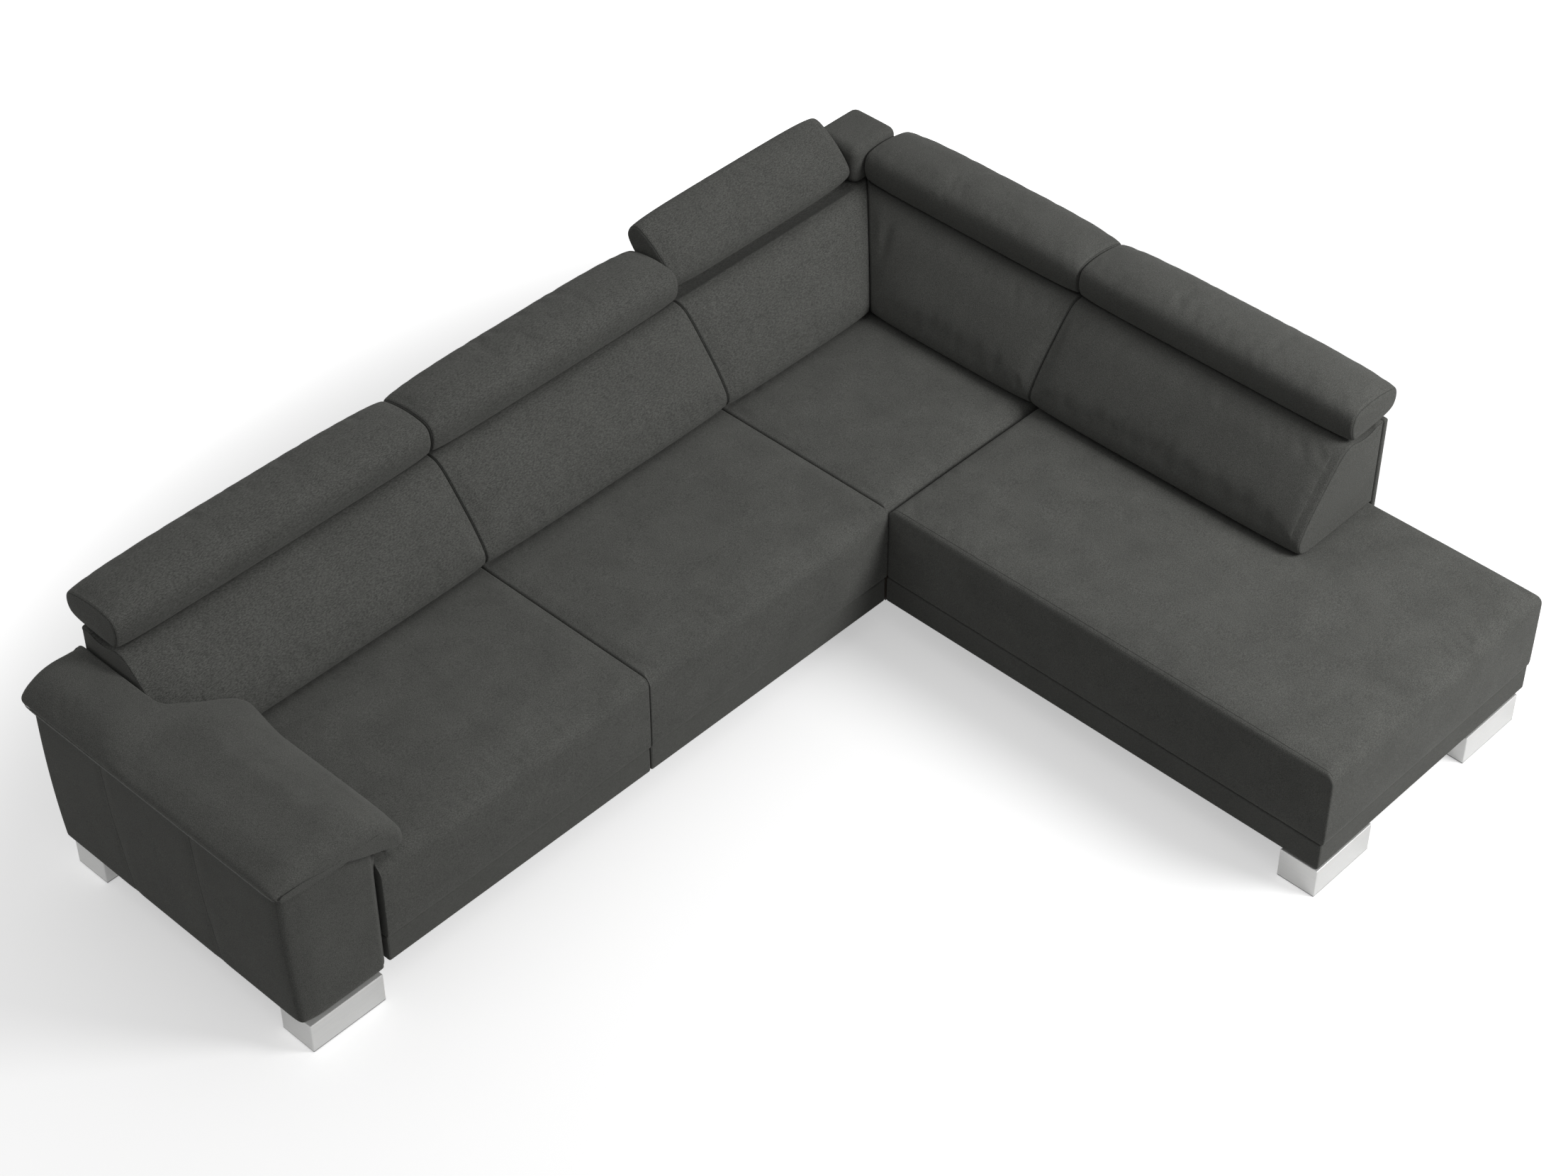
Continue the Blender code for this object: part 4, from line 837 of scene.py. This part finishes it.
def stations(length, radius, spacing, soft, breaks=()):
    """Places along a bar as share and offset, with how far each is drawn in.

    Both ends turn in on a quarter circle, and by soft more, which dies out along
    the bar; a break gives two rings side by side.
    """
    angle = np.radians(np.linspace(0, 90, 6))
    offset, pull = radius * (1 - np.cos(angle)), radius * (1 - np.sin(angle))
    arc = radius * angle - radius * math.pi / 4
    count = int(round((length - 2 * radius) / spacing))
    share = np.arange(1, count) / count
    for place in breaks:
        pair = (place - radius) / (length - 2 * radius) + np.array((-1e-4, 1e-4))
        share = np.sort(np.append(share, pair))
    inner_offset = radius * (1 - 2 * share)
    shares = np.concatenate((0 * angle, share, 0 * angle + 1))
    offsets = np.concatenate((offset, inner_offset, -offset[::-1]))
    seam_reach = np.minimum(share, 1 - share) * length + radius * (math.pi / 4)
    across = np.concatenate((arc, seam_reach, arc[::-1]))
    pull = np.concatenate((pull, 0 * share, pull[::-1]))
    from_end = np.minimum(shares * length + offsets, (1 - shares) * length - offsets)
    return shares, offsets, pull + soft * np.exp(-from_end / 0.035), across


def back_pad(number, place, start, stop, open_range, rest, over_arm=None, bulge=(0.0, 0.0), finish=None):
    """One back cushion between start(v) and stop(v), swollen as 1 - m^4 along it.

    open_range is the part that is hollow behind, rest the part with a trough, and
    up to over_arm the cushion ends level above the arm.
    """
    sections = back_sections()
    length = float(stop(back_front + 0.2) - start(back_front + 0.2))
    breaks = [p - float(start(0.8)) for p in (*open_range, *((over_arm,) if over_arm else ()))
              if float(start(0.8)) + 0.02 < p < float(stop(0.8)) - 0.02]
    shares, offsets, pull, across = stations(length, 0.008, 0.0135, 0.003, breaks)
    u = start(0.8) + (stop(0.8) - start(0.8)) * shares + offsets
    kind = np.where((u > open_range[0]) & (u < open_range[1]), 1, 0)
    rings = np.stack(sections)[kind]
    v, z = rings[..., 0], rings[..., 1]
    normal = np.stack([outward(section[:, :2]) for section in sections])[kind]
    middle = 2 * (shares[:, None] + offsets[:, None] / length) - 1
    grow = back_swell * rings[..., 2] * (1 - middle**4) - pull[:, None] * rings[..., 3]
    v, z = v + normal[..., 0] * grow, z + normal[..., 1] * grow
    if over_arm:
        cut = u < over_arm
        v[cut], z[cut] = level_cut(v[cut], z[cut], arm_height + 0.0005)
    u = start(v) + (stop(v) - start(v)) * shares[:, None] + offsets[:, None]
    out = np.stack((v, z), -1) - hinge
    reach = np.linalg.norm(out, axis=-1)
    in_trough = (reach < trough_radius) & (u > rest[0] - seam) & (u < rest[1] + seam)
    pushed = hinge + out / reach[..., None] * trough_radius
    v, z = np.where(in_trough, pushed[..., 0], v), np.where(in_trough, pushed[..., 1], z)
    rings_uvz = np.stack((u, v, z), -1)
    rings_uvz, across = close_ends(rings_uvz, across, bulge=bulge)
    points, faces = ring_faces(rings_uvz)
    marks = seam_marks(across, rings_uvz)
    loose = np.zeros(rings_uvz.shape[:2])
    loose[6:-6] = rings[..., 2] * np.clip((1 - np.abs(middle)) * length / 2 / free_edge, 0, 1)
    free = np.append(loose.ravel(), (0, 0))
    piece = new_piece(f"back_pad_{number}", place(points), faces, finish, marks)
    upholster(piece, f"back_cushion_{number}", "base", free, back_rise)
    return piece


def fixed(value):
    """An end that is square, at the same place for every depth v."""
    return lambda v: value + 0 * v


half, rest_half, mitre_half, far_off = 0.0005, 0.0009, 0.0012, 9.0
back_start, x_middle, rest_3_stop, rest_4_start = 0.155, x_seat + seat_width, 2.9, 0.14
last_start, last_stop = wing_depth + half, side_length
back_pad(1, on_wing, fixed(back_start), fixed(x_middle - half), (0.2922, far_off),
         (back_start, x_middle - half), x_seat + half, (0.003, 0.0), wing_cloth)
back_pad(2, on_wing, fixed(x_middle + half), fixed(x_corner - half), (-far_off, far_off),
         (x_middle + half, x_corner - half), finish=wing_cloth)
back_pad(3, on_wing, fixed(x_corner + half), lambda v: x_side + v - mitre_half, (-far_off, far_off),
         (x_corner + half, rest_3_stop), finish=wing_cloth)
back_pad(4, on_side, lambda v: wing_depth - v + mitre_half, fixed(wing_depth - half), (-far_off, far_off),
         (rest_4_start, wing_depth - half), finish=side_cloth)
back_pad(5, on_side, fixed(last_start), fixed(last_stop), (-far_off, last_stop - 0.0297),
         (last_start, last_stop), bulge=(0.0, 0.003), finish=side_cloth)


# Headrests. Foam moulded over the turning board, in a cover with a sewn panel at
# each end. Four lie folded down; the one beside the corner is raised 45 degrees.
rest_front, rest_bottom, rest_depth, rest_thick = 0.796, 0.7335, 0.216, 0.1145
rest_swell, rest_rise = 0.017, 0.006
rest_corners = np.array((
    (0.083, 0.040, 0.10), (0.020, 0.270, 0.25), (0.000, 0.510, 0.35), (0.028, 0.780, 0.55),
    (0.111, 0.930, 0.80), (0.273, 0.991, 1.00), (0.480, 1.000, 1.00), (0.713, 0.948, 1.00),
    (0.875, 0.870, 0.80), (0.968, 0.755, 0.55), (1.000, 0.580, 0.25), (0.990, 0.360, 0.05),
    (0.926, 0.170, 0.00), (0.770, 0.066, 0.00), (0.480, 0.026, 0.00), (0.250, 0.009, 0.00)))


def headrest(number, place, start, stop, raised_deg, bulge, finish):
    """A padded bar about its hinge line, turned up by raised_deg about that line.

    Its section swells by rest_swell (1 - m^4), with m from -1 to 1 along it.
    """
    curve = rest_corners * (rest_depth, rest_thick, 1) + (rest_front, rest_bottom, 0) - (*hinge, 0)
    section = smooth_track(curve, 56, closed=True)
    length = stop - start
    shares, offsets, pull, across = stations(length, 0.01, 0.0135, 0.006)
    middle = 2 * (shares + offsets / length) - 1
    grow = rest_swell * section[None, :, 2] * (1 - middle[:, None] ** 4) - pull[:, None]
    yz = section[None, :, :2] + outward(section[:, :2])[None] * grow[..., None]
    turn = math.radians(raised_deg)
    v = hinge[0] + yz[..., 0] * math.cos(turn) - yz[..., 1] * math.sin(turn)
    z = hinge[1] + yz[..., 0] * math.sin(turn) + yz[..., 1] * math.cos(turn)
    u = start + length * shares[:, None] + offsets[:, None] + 0 * v
    rings = np.stack((u, v, z), -1)
    rings, across = close_ends(rings, across, bulge=bulge)
    points, faces = ring_faces(rings)
    loose = np.zeros(rings.shape[:2])
    from_end = (1 - np.abs(middle[:, None])) * length / 2
    loose[6:-6] = section[None, :, 2] * np.clip(from_end / free_edge, 0, 1)
    free = np.append(loose.ravel(), (0, 0))
    marks = seam_marks(across, rings)
    piece = new_piece(f"headrest_pad_{number}", place(points), faces, finish, marks)
    upholster(piece, f"headrest_{number}", f"headrest_{number}", free, rest_rise)


headrest(1, on_wing, back_start, x_middle - rest_half, 0, (0.004, 0.0), wing_cloth)
headrest(2, on_wing, x_middle + rest_half, x_corner - rest_half, 0, (0.0, 0.0), wing_cloth)
headrest(3, on_wing, x_corner + rest_half, rest_3_stop, 45, (0.0, 0.0), wing_cloth)
headrest(4, on_side, rest_4_start, wing_depth - rest_half, 0, (0.0, 0.0), side_cloth)
headrest(5, on_side, wing_depth + rest_half, last_stop, 0, (0.0, 0.004), side_cloth)


# Corner block. A padded box on top of the two backs, which fills the corner
# between the rows of headrests.
low, high, block_radius, block_crown = (2.904, 0.8222, 0.733), (3.09, 0.995, 0.858), 0.027, 0.006
levels = [mesh_lines(low[k], high[k], block_radius, 0.013) for k in range(3)]
points, faces = cell_skin(levels, np.ones([len(places) - 1 for places in levels], bool))
points = round_over(points, low, high, block_radius)
reach = 2 * (points - low) / (np.subtract(high, low)) - 1
domed = (1 - reach[:, 0] ** 2) * (1 - reach[:, 1] ** 2) * np.clip(reach[:, 2], 0, 1)
points[:, 2] += block_crown * domed
block = new_piece("corner_block_pad", on_wing(points), faces, side_cloth)
upholster(block, "corner_block", "base")


# Filling. The foam and fleece press the covers out from inside: the arm pad, the
# seats, the backs and the headrests are blown up a little by a cloth simulation
# while their seams and undersides are held.


def hold(piece, free):
    """A vertex group whose weight is one minus how loose each point is."""
    group = piece.vertex_groups.new(name="held")
    level = np.rint((1 - np.clip(free, 0, 1)) * 8).astype(int)
    for step in range(1, 9):
        group.add(np.flatnonzero(level == step).tolist(), step / 8, "REPLACE")
    return group


def fill_covers(entries, frames=12):
    """Inflates all covers at once; a point moves rise * tanh(way / rise) at most."""
    for piece, free, rise in entries:
        hold(piece, free)
        cloth = piece.modifiers.new("filling", "CLOTH")
        cloth.point_cache.frame_start, cloth.point_cache.frame_end = 1, frames
        cloth.collision_settings.use_collision = False
        cloth.settings.quality = 3
        cloth.settings.mass = 0.3
        cloth.settings.tension_stiffness = cloth.settings.compression_stiffness = 25
        cloth.settings.shear_stiffness = 8
        cloth.settings.bending_stiffness = 0.2
        cloth.settings.shrink_min = -0.012
        cloth.settings.use_pressure = True
        cloth.settings.uniform_pressure_force = 4
        cloth.settings.vertex_group_mass = "held"
        cloth.settings.effector_weights.gravity = 0
    scene = bpy.context.scene
    for moment in range(1, frames + 1):
        scene.frame_set(moment)
    done = bpy.context.evaluated_depsgraph_get()
    for piece, free, rise in entries:
        count = len(piece.data.vertices)
        before, after = np.empty(count * 3), np.empty(count * 3)
        piece.data.vertices.foreach_get("co", before)
        piece.evaluated_get(done).data.vertices.foreach_get("co", after)
        before, way = before.reshape(-1, 3), (after - before).reshape(-1, 3)
        far = np.maximum(np.linalg.norm(way, axis=1, keepdims=True), 1e-9)
        before += way / far * rise * np.tanh(far / rise) * np.clip(free, 0, 1)[:, None]
        piece.modifiers.clear()
        piece.vertex_groups.clear()
        piece.data.vertices.foreach_set("co", before.ravel())
        piece.data.update()
    scene.frame_set(1)


fill_covers([entry for entry in padded_pieces if entry[1] is not None])
for piece, free, rise in padded_pieces:
    finer = piece.modifiers.new("finer", "SUBSURF")
    finer.levels = finer.render_levels = 1


# Openings. Slots in the tops of the back cushions let the headrest straps through,
# and pockets in the headrests hold the turning board and the toothed heads. They
# are cut out of the finished covers at the two hinges of each headrest.


def cutter(name, places, place):
    """A closed prism from two like outlines (2, n, 3), carried into the frame."""
    n = places.shape[1]
    k = np.arange(n)
    sides = np.stack((k, (k + 1) % n, (k + 1) % n + n, k + n), -1).tolist()
    faces = [list(range(n))[::-1], list(range(n, 2 * n)), *sides]
    tool = new_piece(name, place(places.reshape(-1, 3)), faces, side_cloth)
    shape = bmesh.new()
    shape.from_mesh(tool.data)
    bmesh.ops.recalc_face_normals(shape, faces=shape.faces)
    shape.to_mesh(tool.data)
    shape.free()
    return tool


def prism(name, u_range, outline, turn_deg, place):
    """A prism along u, whose (v, z) outline is given about the hinge line."""
    turn = math.radians(turn_deg)
    y, z = np.array(outline).T
    v = hinge[0] + y * math.cos(turn) - z * math.sin(turn)
    up = hinge[1] + y * math.sin(turn) + z * math.cos(turn)
    return cutter(name, np.stack([np.stack((u + 0 * v, v, up), -1) for u in u_range]), place)


def cut(piece, tools):
    """Takes the tools away from the finished piece, and removes them."""
    for tool in tools:
        taken = piece.modifiers.new("cut", "BOOLEAN")
        taken.object, taken.solver = tool, "MANIFOLD"
    done = bpy.context.evaluated_depsgraph_get()
    whole = bpy.data.meshes.new_from_object(
        piece.evaluated_get(done), preserve_all_data_layers=True, depsgraph=done)
    old, whole.name = piece.data, piece.data.name
    piece.modifiers.clear()
    piece.data = whole
    bpy.data.meshes.remove(old)
    for tool in tools:
        bpy.data.objects.remove(tool)


rests = (
    (1, on_wing, back_start, x_middle - seam / 2, 0),
    (2, on_wing, x_middle + seam / 2, x_corner - seam / 2, 0),
    (3, on_wing, x_corner + seam / 2, rest_3_stop, 45),
    (4, on_side, rest_4_start, wing_depth - seam / 2, 0),
    (5, on_side, wing_depth + seam / 2, last_stop, 0),
)
slot = ((0.0475, -0.1923), (0.0775, -0.1923), (0.0775, -0.0523), (0.0475, -0.0523))
pocket = ((-0.1, -0.13), (0.081, -0.13), (0.081, -0.035), (0.020, 0.022), (-0.023, 0.022),
          (-0.053, -0.035), (-0.053, -0.094))
board = ((0.0497, -0.0503), (0.1153, -0.0503), (0.1153, -0.0377), (0.0497, -0.0377))
hinge_shares, slot_half, board_past_hinge = (0.22, 0.78), 0.006, 0.0203
for number, place, start, stop, raised in rests:
    hinges = [start + (stop - start) * share for share in hinge_shares]
    tools = [prism("slot", (u - slot_half, u + slot_half), slot, 0, place) for u in hinges]
    cut(bpy.data.objects[f"back_pad_{number}"], tools)
    tools = [prism("pocket", (u - 0.01, u + 0.014), pocket, raised, place) for u in hinges]
    board_range = (hinges[0] - board_past_hinge, hinges[1] + board_past_hinge)
    tools.append(prism("board_slot", board_range, board, raised, place))
    cut(bpy.data.objects[f"headrest_pad_{number}"], tools)


# The studio. A pale floor that fades to white away from the sofa, a large soft
# lamp to the front right, a faint one beside the arm, and a sky that is white to
# the camera and brighter overhead than low down for light.
sky_low, sky_high = 0.03, 0.52
floor_half, white_from, white_to = 30.0, 2.8, 3.8


def camera_white(tree, plain, white):
    """The plain shader for light, and white for the camera, mirrors and glass."""
    path = add(tree, "LightPath").outputs
    seen = calc(tree, "MAXIMUM", path["Is Camera Ray"], path["Is Glossy Ray"])
    seen = calc(tree, "MAXIMUM", seen, path["Is Transmission Ray"])
    return add(tree, "MixShader", {0: seen, 1: plain, 2: white}).outputs[0]


ground = bpy.data.materials.new("studio_floor")
ground.use_nodes = True
tree = ground.node_tree
tree.nodes.clear()
pale = add(tree, "BsdfDiffuse", {"Color": (0.3, 0.3, 0.3, 1)}).outputs[0]
matt = add(tree, "BsdfDiffuse", {"Color": (0.86, 0.86, 0.86, 1)}).outputs[0]
place = add(tree, "TexCoord").outputs["Object"]
place = add(tree, "Mapping", {"Vector": place, "Location": (-0.1, 0.9, 0)}).outputs[0]
away = add(tree, "VectorMath", {0: place}, operation="LENGTH").outputs["Value"]
strength = ramp(tree, away, white_from, white_to, 0.46, 1.1, smooth=True)
glow = add(tree, "Emission", {"Color": (1, 1, 1, 1), "Strength": strength})
lit = add(tree, "AddShader", {0: matt, 1: glow.outputs[0]}).outputs[0]
surface = camera_white(tree, pale, lit)
tree.links.new(surface, add(tree, "OutputMaterial").inputs["Surface"])
corner = np.array(((-1, -1, 0), (1, -1, 0), (1, 1, 0), (-1, 1, 0))) * floor_half
mesh = bpy.data.meshes.new("studio_floor")
mesh.from_pydata(corner, [], [(0, 1, 2, 3)])
mesh.materials.append(ground)
floor = bpy.data.objects.new("studio_floor", mesh)
bpy.context.scene.collection.objects.link(floor)

world = bpy.data.worlds.new("studio_sky")
bpy.context.scene.world = world
world.use_nodes = True
tree = world.node_tree
tree.nodes.clear()
upward = add(tree, "SeparateXYZ", {0: add(tree, "TexCoord").outputs["Generated"]}).outputs["Z"]
strength = ramp(tree, upward, 0, 1, sky_low, sky_high)
dim = add(tree, "Background", {"Color": (1, 1, 1, 1), "Strength": strength}).outputs[0]
bright = add(tree, "Background", {"Color": (1, 1, 1, 1), "Strength": 1.0}).outputs[0]
tree.links.new(camera_white(tree, dim, bright), add(tree, "OutputWorld").inputs["Surface"])

for name, size, power, place, aim in (
    ("soft_lamp", 2.4, 210.0, (2.5, -4.2, 4.0), (0.2, 0.0, 0.4)),
    ("arm_lamp", 1.0, 2.5, (-3.5, 1.2, 1.5), (-1.5, 0.6, 0.6)),
):
    lamp = bpy.data.lights.new(name, "AREA")
    lamp.shape, lamp.size, lamp.energy = "DISK", size, power
    lamp_object = bpy.data.objects.new(name, lamp)
    bpy.context.scene.collection.objects.link(lamp_object)
    turn = (Vector(aim) - Vector(place)).to_track_quat("-Z", "Y").to_matrix().to_4x4()
    lamp_object.matrix_world = Matrix.Translation(place) @ turn

# The camera stands where the photograph was taken from, with its lens.
camera = bpy.data.cameras.new("photo_camera")
camera.lens, camera.sensor_width, camera.clip_end = 75.47, 36.0, 100.0
camera_object = bpy.data.objects.new("photo_camera", camera)
bpy.context.scene.collection.objects.link(camera_object)
yaw, pitch, roll = (math.radians(a) for a in (-46.4277, -42.2342, -0.1062))
camera_object.matrix_world = (
    Matrix.Translation((-4.5901, -4.2755, 6.3933)) @ Matrix.Rotation(yaw, 4, "Z")
    @ Matrix.Rotation(math.pi / 2 + pitch, 4, "X") @ Matrix.Rotation(roll, 4, "Z")
)
bpy.context.scene.camera = camera_object
bpy.context.scene.view_settings.view_transform = "Standard"
